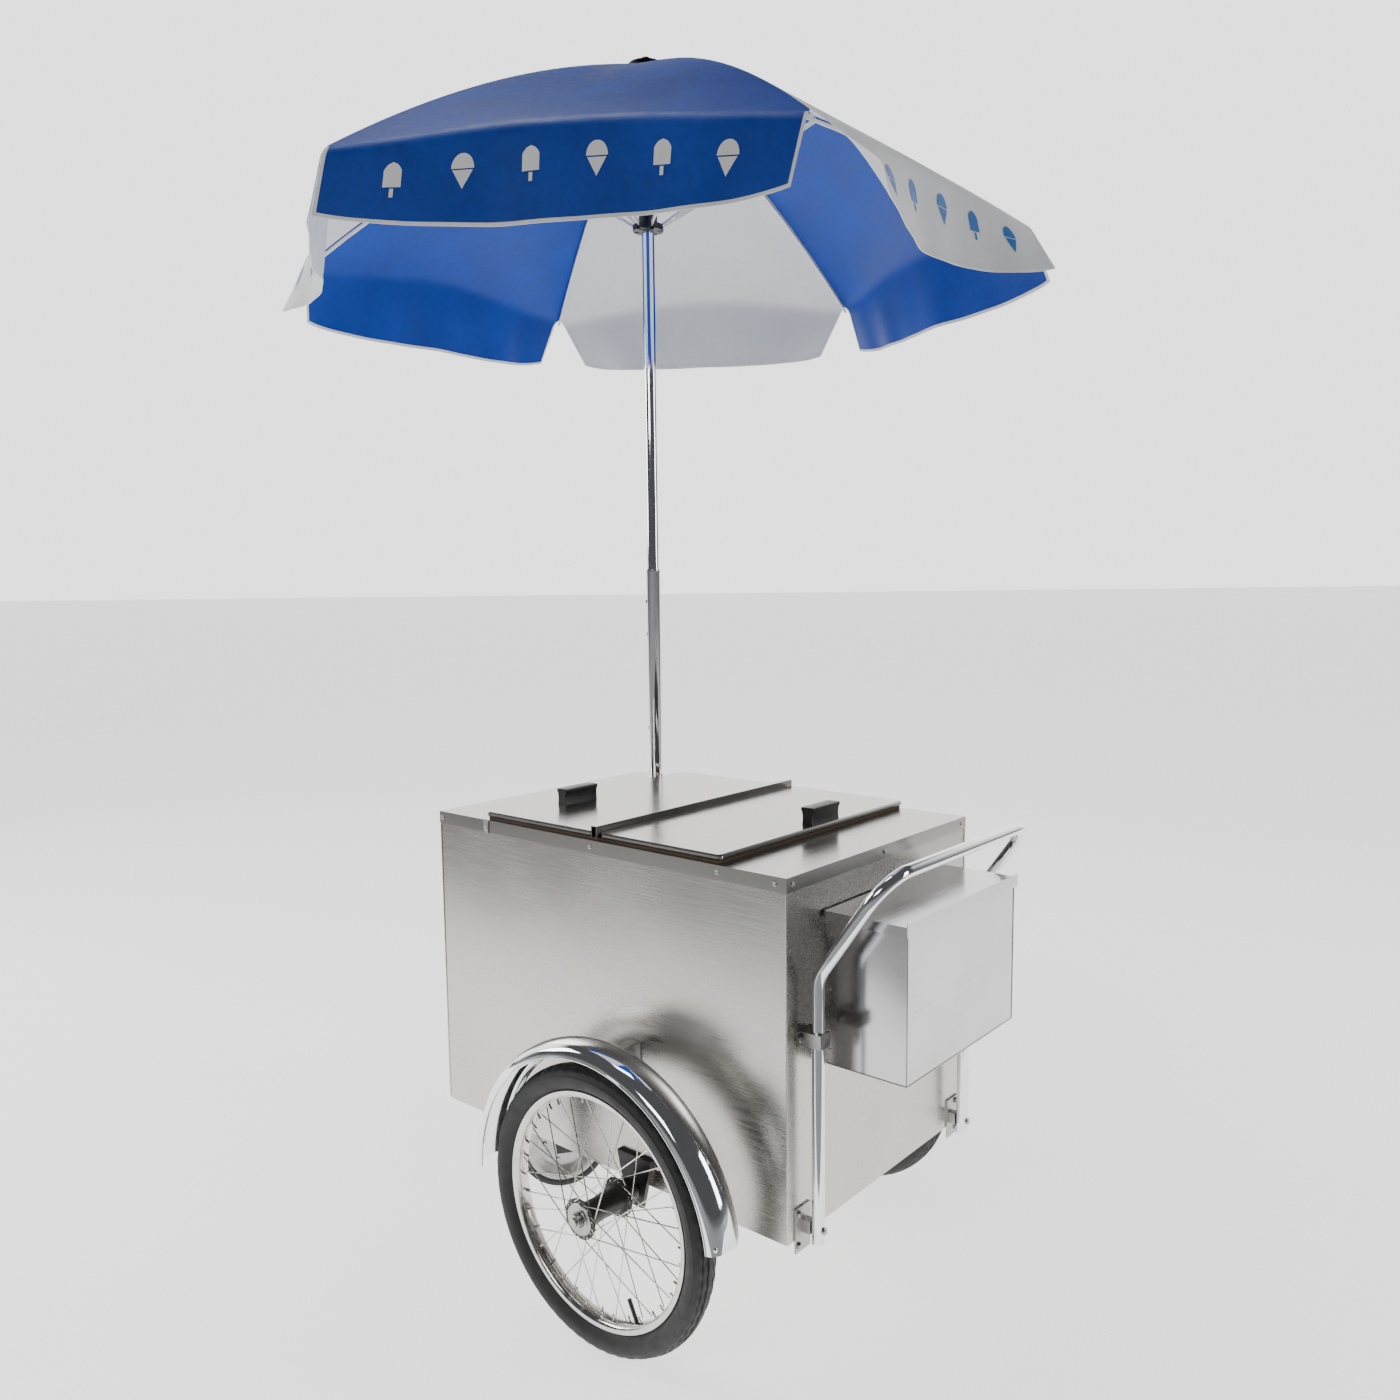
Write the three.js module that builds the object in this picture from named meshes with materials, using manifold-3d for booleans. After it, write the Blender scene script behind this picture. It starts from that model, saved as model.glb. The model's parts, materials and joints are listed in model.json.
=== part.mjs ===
// Push vending cart: an insulated stainless tub on two spoked wheels and a swivelling front caster,
// with a tubular push handle, a utility box and a folding six-rib umbrella on a telescopic mast.
//
// Millimetres, +Z up. The person who pushes stands at +X, the caster is at -X, "near" is -Y and
// "far" is +Y. The pieces are laid out from the middle of the cabinet on the ground, and the last
// step moves the whole cart so that its origin is the bottom centre of its bounding box.

import * as THREE from "three";
import { mergeVertices } from "three/addons/utils/BufferGeometryUtils.js";
import Module from "manifold-3d";

const wasm = await Module();
wasm.setup();

// ---------------------------------------------------------------- driving dimensions

const FIT = 0.3; // gap between pieces that touch
const RUNNING_FIT = 0.4; // radial gap of pieces that turn or slide on each other
const RAD = Math.PI / 180;

// Cabinet
const CABINET_LENGTH = 883;
const CABINET_WIDTH = 600;
const CABINET_HEIGHT = 618;
const DECK_SHEET = 1.5;
const DECK_SKIRT = 25;
const SHELL_SHEET = 1.5;
const LINER_SHEET = 1.2;
const SIDE_FOAM = 41;
const FLOOR_FOAM = 48;
const FRONT_FOAM = 164;
const REAR_FOAM = 159;
const CROSS_STRIP = 40; // deck strip between the two openings

// Lid
const LID_OVERLAP = 25; // how far the leaves lap over the openings
const LID_SIDE_INSET = 3; // how far the leaves stay inside the deck's long edges
const LEAF_THICKNESS = 10;
const LEAF_CORNER = 9;
const LEAF_EDGE = 3;
const GASKET_HEIGHT = 5.6;
const GASKET_INSET = 5;
const GASKET_WIDTH = 18;
const BAR_WIDTH = 14;
const BAR_HEIGHT = 22;
const BAR_SHEET = 1.5;
const BAR_OVERHANG = 5; // how far the bar runs past the leaves
const BAR_OFFSET = 9.6; // from the middle of the lid
const LEAF_TO_BAR = 2;
const GRIP_WIDTH = 29;
const GRIP_LENGTH = 89;
const GRIP_HEIGHT = 33;
const GRIP_WAIST = 22;
const GRIP_FOOT_TAPER = 2;
const GRIP_TOP_EDGE = 4;
const GRIP_WAIST_START = 0.22; // share of the grip's height where the waist starts
const GRIP_WAIST_END = 0.6;
const FRONT_GRIP_SETBACK = 76; // from the lid's front edge to the middle of the grip
const FRONT_GRIP_Y = -117;
const REAR_GRIP_SETBACK = 17.5;
const REAR_GRIP_Y = 25;

// Underframe and axle
const RAIL = 22;
const RAIL_SETBACK = 52; // from the cabinet's side
const RAIL_END_SETBACK = 52;
const AXLE_X = 103.2;
const AXLE_DIAMETER = 16;
const AXLE_TO_FLOOR = 1.8; // gap between the axle and the cabinet's floor
const AXLE_END = 65; // axle past the wheel's middle plane
const NUT_DIAMETER = 26;
const NUT_LENGTH = 10;
const THREAD_PAST_NUT = 4;
const BRACKET_LENGTH = 84;
const BRACKET_FOOT = 0.45; // bottom of the bracket as a share of its top
const BRACKET_THICKNESS = 9;
const BRACKET_BELOW_AXLE = 34;
const BRACKET_ABOVE_AXLE = 60;

// Wheels
const TYRE_DIAMETER = 514;
const TYRE_WIDTH = 54;
const TYRE_SHOULDER_DROP = 8; // from the tread's middle to its shoulder
const TYRE_SHOULDER = 0.78; // shares of the half width
const TYRE_TREAD = 0.28;
const TYRE_BULGE = 0.45; // height of the widest point, as a share of the sidewall
const WHEEL_STANDOFF = 97.1; // from the cabinet's side to the wheel's middle plane
const WHEEL_SIDES = 36; // facets of a rim and its tyre
const TYRE_SECTION = 44; // from the rim's lip to the tread
const RIM_WIDTH = 33;
const RIM_DEPTH = 14;
const RIM_SHEET = 2.2;
const TYRE_SEAT_GAP = 2;
const BEAD_RISE = 1; // from the rim's lip to where the tyre widens
const SPOKE_COUNT = 36;
const SPOKE_DIAMETER = 2.4;
const SPOKE_STAGGER = 0.55; // crossing spokes stand this many diameters off each other's plane
const FLANGE_RADIUS = 36;
const FLANGE_SPACING = 46; // each flange from the wheel's middle plane
const FLANGE_THICKNESS = 3.2;
const BARREL_RADIUS = 22.5;
const BARREL_INNER_REACH = 80; // barrel past the wheel's middle plane, towards the cabinet
const NIPPLE_GAP = 2; // from each spoke end to the rim bed
const HUB_SIDES = 20;
const SPOKE_ROOT = 5; // from the flange's rim to the spoke holes
const SPOKE_RIM_SPREAD = 3; // each side's spoke ends from the rim's middle
const SPOKE_SIDES = 3;
const SPOKE_CROSSING = 60; // degrees round the hub between a spoke's two ends

// Mudguards
const GUARD_WIDTH = 76;
const GUARD_CLEARANCE = 22; // from the tread to the mudguard's edges
const GUARD_CROWN = 22;
const GUARD_SHEET = 1.6;
const GUARD_SECTION_STEPS = 6;
const GUARD_SIDES = 40; // facets of a full turn
const GUARD_REAR_ANGLE = 83; // from the top towards the rear
const STAY_WIDTH = 30;
const STAY_SHEET = 2.5;
const STAY_PLATE_DROP = 40;
const STAY_BELOW_EDGE = 6; // the stay's arm under the mudguard's edge radius
const STAY_ARM = 0.7; // arm's width as a share of the plate's

// Push handle
const HANDLE_DIAMETER = 22;
const HANDLE_SPREAD = 250; // each leg from the middle
const HANDLE_STANDOFF = 26.4; // leg's middle from the cabinet's rear face
const HANDLE_FOOT_DROP = 4.8; // below the cabinet's floor
const HANDLE_GRIP_X = 154.6; // grip's middle from the cabinet's rear face
const HANDLE_GRIP_ABOVE_DECK = 14.2;
const HANDLE_ARM_RISE = 183; // from the lower bend up to the grip
const HANDLE_BEND_RADIUS = 60;
const HANDLE_BEND_STEPS = 4;
const HANDLE_SIDES = 12;
const FOOT_PLATE_WIDTH = 42;
const FOOT_PLATE_DROP = 21.8; // below the cabinet's floor
const FOOT_PLATE_HEIGHT = 77;
const FOOT_PLATE_THICKNESS = 3;
const FOOT_PLATE_INNER = 13; // from the leg's middle to the plate's inner edge
const FOOT_BOSS_RISE = 30; // from the plate's foot to the boss
const FOOT_BOSS_HEIGHT = 22;
const FOOT_BOSS_WIDTH = 16;
const CLAMP_BELOW_BEND = 104;
const CLAMP_HEIGHT = 24;
const CLAMP_WIDTH = 44;
const CLAMP_STRAP = 3;

// Utility box
const BOX_DEPTH = 155;
const BOX_WIDTH = 378;
const BOX_HEIGHT = 260;
const BOX_BELOW_DECK = 79.8; // from the deck down to the box's rim
const BOX_SHEET = 1.4;
const BOX_LID_OVERHANG = 8;
const BOX_LID_FRONT_OVERHANG = 4;
const BOX_LID_LIP = 17;
const BOX_LID_SHEET = 1.5;
const BOX_LID_GAP = 3.5; // from the box's rim to the lid's underside
const BOX_LID_TURN_UP = 6;
const BOX_LID_HINGE_GAP = 2; // from the cabinet's rear face to the lid
const BOX_LID_CHEEK_GAP = 3; // and on to its side lips

// Caster
const CASTER_SETBACK = 117.6; // swivel axis from the cabinet's front
const CASTER_HEADROOM = 38.2; // from the caster's tread up to its plate
const CASTER_SIDES = 28; // facets of the caster's disc and tyre
const CASTER_WIDTH = 44;
const CASTER_TYRE = 16;
const CASTER_TRAIL = 65;
const CASTER_TURN = 55; // degrees away from straight ahead
const CASTER_PLATE = 6;
const CASTER_PLATE_LENGTH = 110;
const FORK_SHEET = 4;
const FORK_GAP = 52;
const FORK_BOLT = 12;
const FORK_BOLT_REACH = 8; // past the outside of each leg
const FORK_BEARING_HEIGHT = 14;
const FORK_BEARING_RADIUS = 30;
const FORK_FRONT = 92; // the crown's front end from the wheel's middle
const FORK_BACK = 26; // and its back end
const FORK_FOOT = 18; // half the leg's width at the bolt
const FORK_FOOT_DROP = 16;
const FORK_KNEE = 30;
const FORK_BACK_KNEE = 60;
const CASTER_SHOULDER = 5;
const CASTER_CROWN = 1;
const CASTER_CROWN_WIDTH = 0.6;
const DISC_HUB_RADIUS = 18;
const DISC_WEB_START = 20;
const DISC_WEB = 5; // half the web's thickness at the rim side
const DISC_WEB_AT_HUB = 8;
const DISC_WEB_END = 22; // from the seat inwards
const DISC_FLANGE = 6;
const DISC_EDGE_INSET = 3;

// Mast and umbrella
const MAST_SETBACK = 79.6; // from the cabinet's front
const LOWER_MAST_DIAMETER = 33;
const LOWER_MAST_TOP_Z = 1377;
const TELESCOPE_GAP = 0.5; // radial, between the two mast tubes
const UPPER_POLE_FOOT_Z = 1160;
const POLE_SHEET = 1.5;
const SOCKET_SHEET = 1.6;
const SOCKET_DEPTH = 286;
const BUTTON_Z = 1302;
const BUTTON_DIAMETER = 9;
const BUTTON_HOLE = 10;
const BUTTON_STAND_OUT = 3.5; // past the lower mast's outside
const BUTTON_ROOT = 6; // inside the pole's outside
const BUTTON_DIRECTION = 220.5; // degrees from +X towards +Y
const SPARE_HOLE_Z = 1225;
const POLE_TRAVEL = 300;
const TIP_RADIUS = 830;
const TIP_Z = 2110;
const RIB_SLOPE = 0.27;
const RIB_CURVE = 0.00024;
const RIB_COUNT = 6;
const FIRST_RIB_AZIMUTH = 31;
const RIB_WIDTH = 6;
const RIB_DEPTH = 7;
const RIB_DROP = 3; // the bar's middle below the rib line
const RIB_INNER_END = 18.5;
const RIB_PIN_DIAMETER = 4;
const RIB_SEGMENTS = 8;
const STRETCHER_RIB_RADIUS = 380;
const STRETCHER_HINGE_RADIUS = 28;
const RUNNER_HINGE_BELOW_CROWN = 346;
const STRETCHER_DEPTH = 6;
const STRETCHER_BAR = 2.4;
const STRETCHER_RIB_GAP = 1.4; // between the rib and each side bar
const STRETCHER_PAST_PIN = 3;
const TONGUE_ROOT = 4; // tongue past its hinge, towards the mast
const BRIDGE_LENGTH = 8;
const STRETCHER_TONGUE = 5;
const TONGUE_LENGTH = 38;
const CROWN_RADIUS = 28;
const CROWN_HEIGHT = 14;
const CROWN_CORE = 16.5;
const FINIAL_CAP_RADIUS = 40;
const FINIAL_KNOB_RADIUS = 10;
const FINIAL_HEIGHT = 15;
const FINIAL_SKIRT = 1.5;
const FINIAL_SHOULDER = 5;
const FINIAL_CHAMFER = 3;
const CAP_LIFT = 3; // the cap over the crown, clear of the ribs
const SLOT_CLEARANCE = 0.8; // each side of a rib or a tongue in its slot
const RUNNER_RADIUS = 35;
const RUNNER_CORE = 21;
const RUNNER_HEIGHT = 34;
const RUNNER_FLANGE = 13;
const RUNNER_HINGE_RAISE = 4; // hinge above the middle of the flange
const CANOPY_THICKNESS = 2.5;
const CANOPY_ABOVE_RIB = 4.4; // underside of the cloth over the rib's middle line, at least
const CANOPY_HOLE_RADIUS = 33;
const CANOPY_TIP_OVERHANG = 4;
const VALANCE_DROP = 150;
const VALANCE_FLARE = 24;
const EDGE_RISE = 34; // how far the canopy's edge arches up between two ribs
const EDGE_INSET = 38; // and how far it is drawn in there
const CANOPY_ROWS = 7;
const CANOPY_COLUMNS = 4;

// ---------------------------------------------------------------- derived places

const rearX = CABINET_LENGTH / 2;
const frontX = -rearX;
const sideY = CABINET_WIDTH / 2;
const axleZ = TYRE_DIAMETER / 2;
const cabinetFloorZ = axleZ + AXLE_DIAMETER / 2 + AXLE_TO_FLOOR;
const deckZ = cabinetFloorZ + CABINET_HEIGHT;
const shellInset = DECK_SHEET + FIT;
const shellRearX = rearX - shellInset;
const shellSideY = sideY - shellInset;
const shellTopZ = deckZ - DECK_SHEET - FIT;
const foamInset = shellInset + SHELL_SHEET + FIT;
const linerInset = FIT + LINER_SHEET;
const tubFrontX = frontX + foamInset + FRONT_FOAM + linerInset;
const tubRearX = rearX - foamInset - REAR_FOAM - linerInset;
const tubSideY = sideY - foamInset - SIDE_FOAM - linerInset;
const tubFloorZ = cabinetFloorZ + SHELL_SHEET + FIT + FLOOR_FOAM + linerInset;
const lidFrontX = tubFrontX - LID_OVERLAP;
const lidRearX = tubRearX + LID_OVERLAP;
const lidSideY = sideY - LID_SIDE_INSET;
const barX = (lidFrontX + lidRearX) / 2 + BAR_OFFSET;
const gasketTopZ = deckZ + FIT + GASKET_HEIGHT;
const leafZ = gasketTopZ + FIT;
const leafTopZ = leafZ + LEAF_THICKNESS;
const rimRadius = TYRE_DIAMETER / 2 - TYRE_SECTION;
const guardEdgeRadius = TYRE_DIAMETER / 2 + GUARD_CLEARANCE;
const wheelY = sideY + WHEEL_STANDOFF;
const railTopZ = cabinetFloorZ - FIT;
const railOuterY = sideY - RAIL_SETBACK;
const railBottomZ = railTopZ - RAIL;
const legX = rearX + HANDLE_STANDOFF;
const gripX = rearX + HANDLE_GRIP_X;
const handleFootZ = cabinetFloorZ - HANDLE_FOOT_DROP;
const handleGripZ = deckZ + HANDLE_GRIP_ABOVE_DECK;
const handleBendZ = handleGripZ - HANDLE_ARM_RISE;
const clampZ = handleBendZ - CLAMP_BELOW_BEND;
const footPlateZ = cabinetFloorZ - FOOT_PLATE_DROP;
const footPlateTopZ = footPlateZ + FOOT_PLATE_HEIGHT;
const boxTopZ = deckZ - BOX_BELOW_DECK;
const boxBottomZ = boxTopZ - BOX_HEIGHT;
const casterX = frontX + CASTER_SETBACK;
const casterPlateZ = railBottomZ - FIT - CASTER_PLATE;
const casterRadius = (casterPlateZ - CASTER_HEADROOM) / 2;
const mastX = frontX + MAST_SETBACK;
const upperPoleDiameter = LOWER_MAST_DIAMETER - 2 * (POLE_SHEET + TELESCOPE_GAP);
const socketRadius = LOWER_MAST_DIAMETER / 2 + RUNNING_FIT + SOCKET_SHEET;
const mastY = shellSideY - SHELL_SHEET - FIT - socketRadius;
const lowerMastFootZ = shellTopZ - SOCKET_DEPTH + 2 * SOCKET_SHEET + FIT;
const crownZ = TIP_Z + RIB_SLOPE * TIP_RADIUS + RIB_CURVE * TIP_RADIUS ** 2;
const runnerHingeZ = crownZ - RUNNER_HINGE_BELOW_CROWN;

// ---------------------------------------------------------------- finishes

const finish = (color, roughness, metalness) =>
  new THREE.MeshStandardMaterial({ color, roughness, metalness });
const stainless = finish(0xb4b1ac, 0.38, 1.0);
const galvanised = finish(0xa9b2ba, 0.3, 1.0);
const chrome = finish(0xdfe3e6, 0.08, 1.0);
const zinc = finish(0x8d908a, 0.45, 1.0);
const blackSteel = finish(0x141414, 0.5, 0.4);
const blackPlastic = finish(0x17181a, 0.45, 0.0);
const rubber = finish(0x1b1b1c, 0.85, 0.0);
const foam = finish(0xe4d9b8, 0.9, 0.0);
const gasketRubber = finish(0xa08a68, 0.8, 0.0);
const whitePaint = finish(0xe8e8e6, 0.35, 0.2);
const blueCloth = finish(0x0d3fa5, 0.7, 0.0);

const cart = new THREE.Group();

// ---------------------------------------------------------------- shape helpers

// A closed three.js geometry as a solid that can be joined and cut.
function solid(geometry) {
  const bare = geometry.clone();
  bare.deleteAttribute("normal");
  bare.deleteAttribute("uv");
  const merged = mergeVertices(bare, 1e-4);
  return new wasm.Manifold(
    new wasm.Mesh({
      numProp: 3,
      vertProperties: new Float32Array(merged.attributes.position.array),
      triVerts: new Uint32Array(merged.index.array),
    }),
  );
}

function joined(...geometries) {
  return geometries.map(solid).reduce((whole, piece) => whole.add(piece));
}

function cut(whole, ...geometries) {
  return geometries.map(solid).reduce((rest, piece) => rest.subtract(piece), whole);
}

function geometryOf(shape) {
  const mesh = shape.getMesh();
  const geometry = new THREE.BufferGeometry();
  geometry.setAttribute("position", new THREE.BufferAttribute(mesh.vertProperties, 3));
  geometry.setIndex(new THREE.BufferAttribute(mesh.triVerts, 1));
  return geometry;
}

// Adds a named piece, from a three.js geometry or from a joined or cut solid.
function piece(name, shape, material, parent = cart) {
  const geometry = shape.isBufferGeometry ? shape : geometryOf(shape);
  const mesh = new THREE.Mesh(geometry, material);
  mesh.name = name;
  parent.add(mesh);
  return mesh;
}

function block(x0, x1, y0, y1, z0, z1) {
  const geometry = new THREE.BoxGeometry(x1 - x0, Math.abs(y1 - y0), z1 - z0);
  return geometry.translate((x0 + x1) / 2, (y0 + y1) / 2, (z0 + z1) / 2);
}

// A round bar or a hole's cutter, standing on z0, with its axis along Z.
function post(radius, x, y, z0, z1, sides = 24) {
  const geometry = new THREE.CylinderGeometry(radius, radius, z1 - z0, sides);
  return geometry.rotateX(Math.PI / 2).translate(x, y, (z0 + z1) / 2);
}

// A round bar or a hole's cutter with its axis along Y.
function spindle(radius, x, z, y0, y1, sides = 24) {
  const geometry = new THREE.CylinderGeometry(radius, radius, Math.abs(y1 - y0), sides);
  return geometry.translate(x, (y0 + y1) / 2, z);
}

// A round bar between two points.
function strut(from, to, radius, sides) {
  const run = to.clone().sub(from);
  const geometry = new THREE.CylinderGeometry(radius, radius, run.length(), sides);
  const turn = new THREE.Quaternion().setFromUnitVectors(
    new THREE.Vector3(0, 1, 0),
    run.clone().normalize(),
  );
  geometry.applyQuaternion(turn);
  const middle = from.clone().add(to).multiplyScalar(0.5);
  return geometry.translate(middle.x, middle.y, middle.z);
}

// A closed ring turned about the Y axis from [radius, y] points, listed outer side upwards.
function turned(points, sides) {
  const profile = points.map(([radius, y]) => new THREE.Vector2(radius, y));
  if (points[0][0] > 0) profile.push(profile[0].clone());
  return new THREE.LatheGeometry(profile, sides);
}

// An upright pipe.
function tubeUpright(outer, inner, x, y, z0, z1, sides) {
  const ring = turned([[outer, z0], [outer, z1], [inner, z1], [inner, z0]], sides);
  return ring.rotateX(Math.PI / 2).translate(x, y, 0);
}

// A plate cut from an outline of [x, z] points, standing in the XZ plane from y0 to y1.
function upright(outline, y0, y1) {
  const shape = new THREE.Shape(outline.map(([x, z]) => new THREE.Vector2(x, z)));
  const geometry = new THREE.ExtrudeGeometry(shape, { depth: y1 - y0, bevelEnabled: false });
  return geometry.rotateX(Math.PI / 2).translate(0, y1, 0);
}

// Stations joined by straight runs and rounded corners, as a curve that stops at each station.
class StationPath extends THREE.Curve {
  constructor(stations) {
    super();
    this.stations = stations;
  }
  getPoint(t) {
    const last = this.stations.length - 1;
    const index = Math.min(Math.round(t * last), last);
    return this.stations[index].clone();
  }
  getPointAt(t) {
    return this.getPoint(t);
  }
  getTangentAt(t) {
    const last = this.stations.length - 1;
    const index = Math.round(t * last);
    const before = this.stations[Math.max(index - 1, 0)];
    const after = this.stations[Math.min(index + 1, last)];
    return after.clone().sub(before).normalize();
  }
}

// The stations of a bent tube: each inner corner is replaced by an arc of the bend radius.
function bentStations(corners, radius, arcSteps) {
  const stations = [corners[0].clone()];
  for (let i = 1; i < corners.length - 1; i++) {
    const inward = corners[i - 1].clone().sub(corners[i]).normalize();
    const outward = corners[i + 1].clone().sub(corners[i]).normalize();
    const opening = inward.angleTo(outward);
    const setback = radius / Math.tan(opening / 2);
    const bisector = inward.clone().add(outward).normalize();
    const centre = corners[i].clone().addScaledVector(bisector, radius / Math.sin(opening / 2));
    const start = corners[i].clone().addScaledVector(inward, setback).sub(centre);
    const axis = start.clone().cross(bisector).normalize();
    const sweep = Math.PI - opening;
    for (let step = 0; step <= arcSteps; step++) {
      const spoke = start.clone().applyAxisAngle(axis, (-sweep * step) / arcSteps);
      stations.push(centre.clone().add(spoke));
    }
  }
  stations.push(corners[corners.length - 1].clone());
  return stations;
}

function sweptTube(stations, radius, sides) {
  const section = new THREE.Shape();
  for (let i = 0; i < sides; i++) {
    const angle = (2 * Math.PI * i) / sides;
    const x = radius * Math.cos(angle);
    const y = radius * Math.sin(angle);
    if (i === 0) section.moveTo(x, y);
    else section.lineTo(x, y);
  }
  return new THREE.ExtrudeGeometry(section, {
    steps: stations.length - 1,
    extrudePath: new StationPath(stations),
    bevelEnabled: false,
  });
}

// ---------------------------------------------------------------- cabinet and lid

function buildCabinet() {
  const shellX = shellRearX;
  const shellInnerX = shellX - SHELL_SHEET;
  const shellInnerY = shellSideY - SHELL_SHEET;
  const shellFloor = cabinetFloorZ + SHELL_SHEET;
  const shell = cut(
    joined(block(-shellX, shellX, -shellSideY, shellSideY, cabinetFloorZ, shellTopZ)),
    block(-shellInnerX, shellInnerX, -shellInnerY, shellInnerY, shellFloor, shellTopZ + 1),
  );
  piece("cabinet_shell", shell, stainless);

  const foamX = shellInnerX - FIT;
  const foamY = shellInnerY - FIT;
  const foamFloor = shellFloor + FIT;
  const socketHoleZ = shellTopZ - SOCKET_DEPTH - FIT;
  const foamHole = [tubFrontX - linerInset, tubRearX + linerInset];
  const foamHoleY = tubSideY + linerInset;
  const insulation = cut(
    joined(block(-foamX, foamX, -foamY, foamY, foamFloor, shellTopZ)),
    block(foamHole[0], foamHole[1], -foamHoleY, foamHoleY, tubFloorZ - linerInset, shellTopZ + 1),
    post(socketRadius + FIT, mastX, mastY, socketHoleZ, shellTopZ + 1, 20),
  );
  piece("insulation", insulation, foam);

  const linerFront = tubFrontX - LINER_SHEET;
  const linerRear = tubRearX + LINER_SHEET;
  const linerY = tubSideY + LINER_SHEET;
  const liner = cut(
    joined(block(linerFront, linerRear, -linerY, linerY, tubFloorZ - LINER_SHEET, shellTopZ)),
    block(tubFrontX, tubRearX, -tubSideY, tubSideY, tubFloorZ, shellTopZ + 1),
  );
  piece("inner_liner", liner, stainless);

  const frontMouth = [tubFrontX, barX - CROSS_STRIP / 2];
  const rearMouth = [barX + CROSS_STRIP / 2, tubRearX];
  const deck = cut(
    joined(block(frontX, rearX, -sideY, sideY, deckZ - DECK_SKIRT, deckZ)),
    block(
      frontX + DECK_SHEET,
      rearX - DECK_SHEET,
      -sideY + DECK_SHEET,
      sideY - DECK_SHEET,
      deckZ - DECK_SKIRT - 1,
      deckZ - DECK_SHEET,
    ),
    block(frontMouth[0], frontMouth[1], -tubSideY, tubSideY, deckZ - DECK_SKIRT, deckZ + 1),
    block(rearMouth[0], rearMouth[1], -tubSideY, tubSideY, deckZ - DECK_SKIRT, deckZ + 1),
    post(LOWER_MAST_DIAMETER / 2 + RUNNING_FIT, mastX, mastY, deckZ - DECK_SKIRT, deckZ + 1),
  );
  piece("top_deck", deck, stainless);

  const socketFloor = shellTopZ - SOCKET_DEPTH;
  const socketBore = LOWER_MAST_DIAMETER / 2 + RUNNING_FIT;
  const socket = cut(
    joined(post(socketRadius, mastX, mastY, socketFloor, shellTopZ, 20)),
    post(socketBore, mastX, mastY, socketFloor + SOCKET_SHEET * 2, shellTopZ + 1, 20),
  );
  piece("mast_socket", socket, zinc);
}

function buildGasket() {
  const front = lidFrontX + GASKET_INSET;
  const rear = lidRearX - GASKET_INSET;
  const side = lidSideY - GASKET_INSET;
  const innerSide = side - GASKET_WIDTH;
  const z0 = deckZ + FIT;
  const strip = CROSS_STRIP / 2;
  const gasket = cut(
    joined(block(front, rear, -side, side, z0, gasketTopZ)),
    block(front + GASKET_WIDTH, barX - strip, -innerSide, innerSide, z0 - 1, gasketTopZ + 1),
    block(barX + strip, rear - GASKET_WIDTH, -innerSide, innerSide, z0 - 1, gasketTopZ + 1),
  );
  piece("lid_gasket", gasket, gasketRubber);

  const barY = lidSideY + BAR_OVERHANG;
  const half = BAR_WIDTH / 2;
  const barTop = leafZ + BAR_HEIGHT;
  const bar = cut(
    joined(block(barX - half, barX + half, -barY, barY, leafZ, barTop)),
    block(
      barX - half + BAR_SHEET,
      barX + half - BAR_SHEET,
      -barY - 1,
      barY + 1,
      leafZ - 1,
      barTop - BAR_SHEET,
    ),
  );
  piece("centre_bar", bar, stainless);
}

// One leaf: a flat pan with rounded corners and a softened top edge.
function leafShape(x0, x1) {
  const inset = LEAF_EDGE;
  const radius = LEAF_CORNER - inset;
  const [a, b] = [x0 + inset, x1 - inset];
  const c = lidSideY - inset;
  const shape = new THREE.Shape();
  shape.moveTo(a + radius, -c);
  shape.lineTo(b - radius, -c);
  shape.absarc(b - radius, -c + radius, radius, -Math.PI / 2, 0);
  shape.lineTo(b, c - radius);
  shape.absarc(b - radius, c - radius, radius, 0, Math.PI / 2);
  shape.lineTo(a + radius, c);
  shape.absarc(a + radius, c - radius, radius, Math.PI / 2, Math.PI);
  shape.lineTo(a, -c + radius);
  shape.absarc(a + radius, -c + radius, radius, Math.PI, 1.5 * Math.PI);
  const geometry = new THREE.ExtrudeGeometry(shape, {
    depth: LEAF_THICKNESS - 2 * LEAF_EDGE,
    bevelThickness: LEAF_EDGE,
    bevelSize: LEAF_EDGE,
    bevelSegments: 1,
    curveSegments: 3,
  });
  return geometry.translate(0, 0, leafZ + LEAF_EDGE);
}

// A grip with a flared top and foot and hollow sides, centred on x and y.
function gripShape(x, y) {
  const half = GRIP_WIDTH / 2;
  const foot = half - GRIP_FOOT_TAPER;
  const waist = GRIP_WAIST / 2;
  const z0 = leafTopZ + FIT;
  const z1 = z0 + GRIP_HEIGHT;
  const waistStart = z0 + GRIP_HEIGHT * GRIP_WAIST_START;
  const waistEnd = z0 + GRIP_HEIGHT * GRIP_WAIST_END;
  const outline = [
    [x - foot, z0],
    [x + foot, z0],
    [x + waist, waistStart],
    [x + waist, waistEnd],
    [x + half, z1 - GRIP_TOP_EDGE],
    [x + half, z1],
    [x - half, z1],
    [x - half, z1 - GRIP_TOP_EDGE],
    [x - waist, waistEnd],
    [x - waist, waistStart],
  ];
  return upright(outline, y - GRIP_LENGTH / 2, y + GRIP_LENGTH / 2);
}

function buildLid() {
  const reach = BAR_WIDTH / 2 + LEAF_TO_BAR;
  piece("lid_front", leafShape(lidFrontX, barX - reach), stainless);
  piece("lid_rear", leafShape(barX + reach, lidRearX), stainless);
  piece("lid_handle_front", gripShape(lidFrontX + FRONT_GRIP_SETBACK, FRONT_GRIP_Y), blackPlastic);
  piece("lid_handle_rear", gripShape(lidRearX - REAR_GRIP_SETBACK, REAR_GRIP_Y), blackPlastic);
}

// ---------------------------------------------------------------- underframe and wheels

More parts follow.
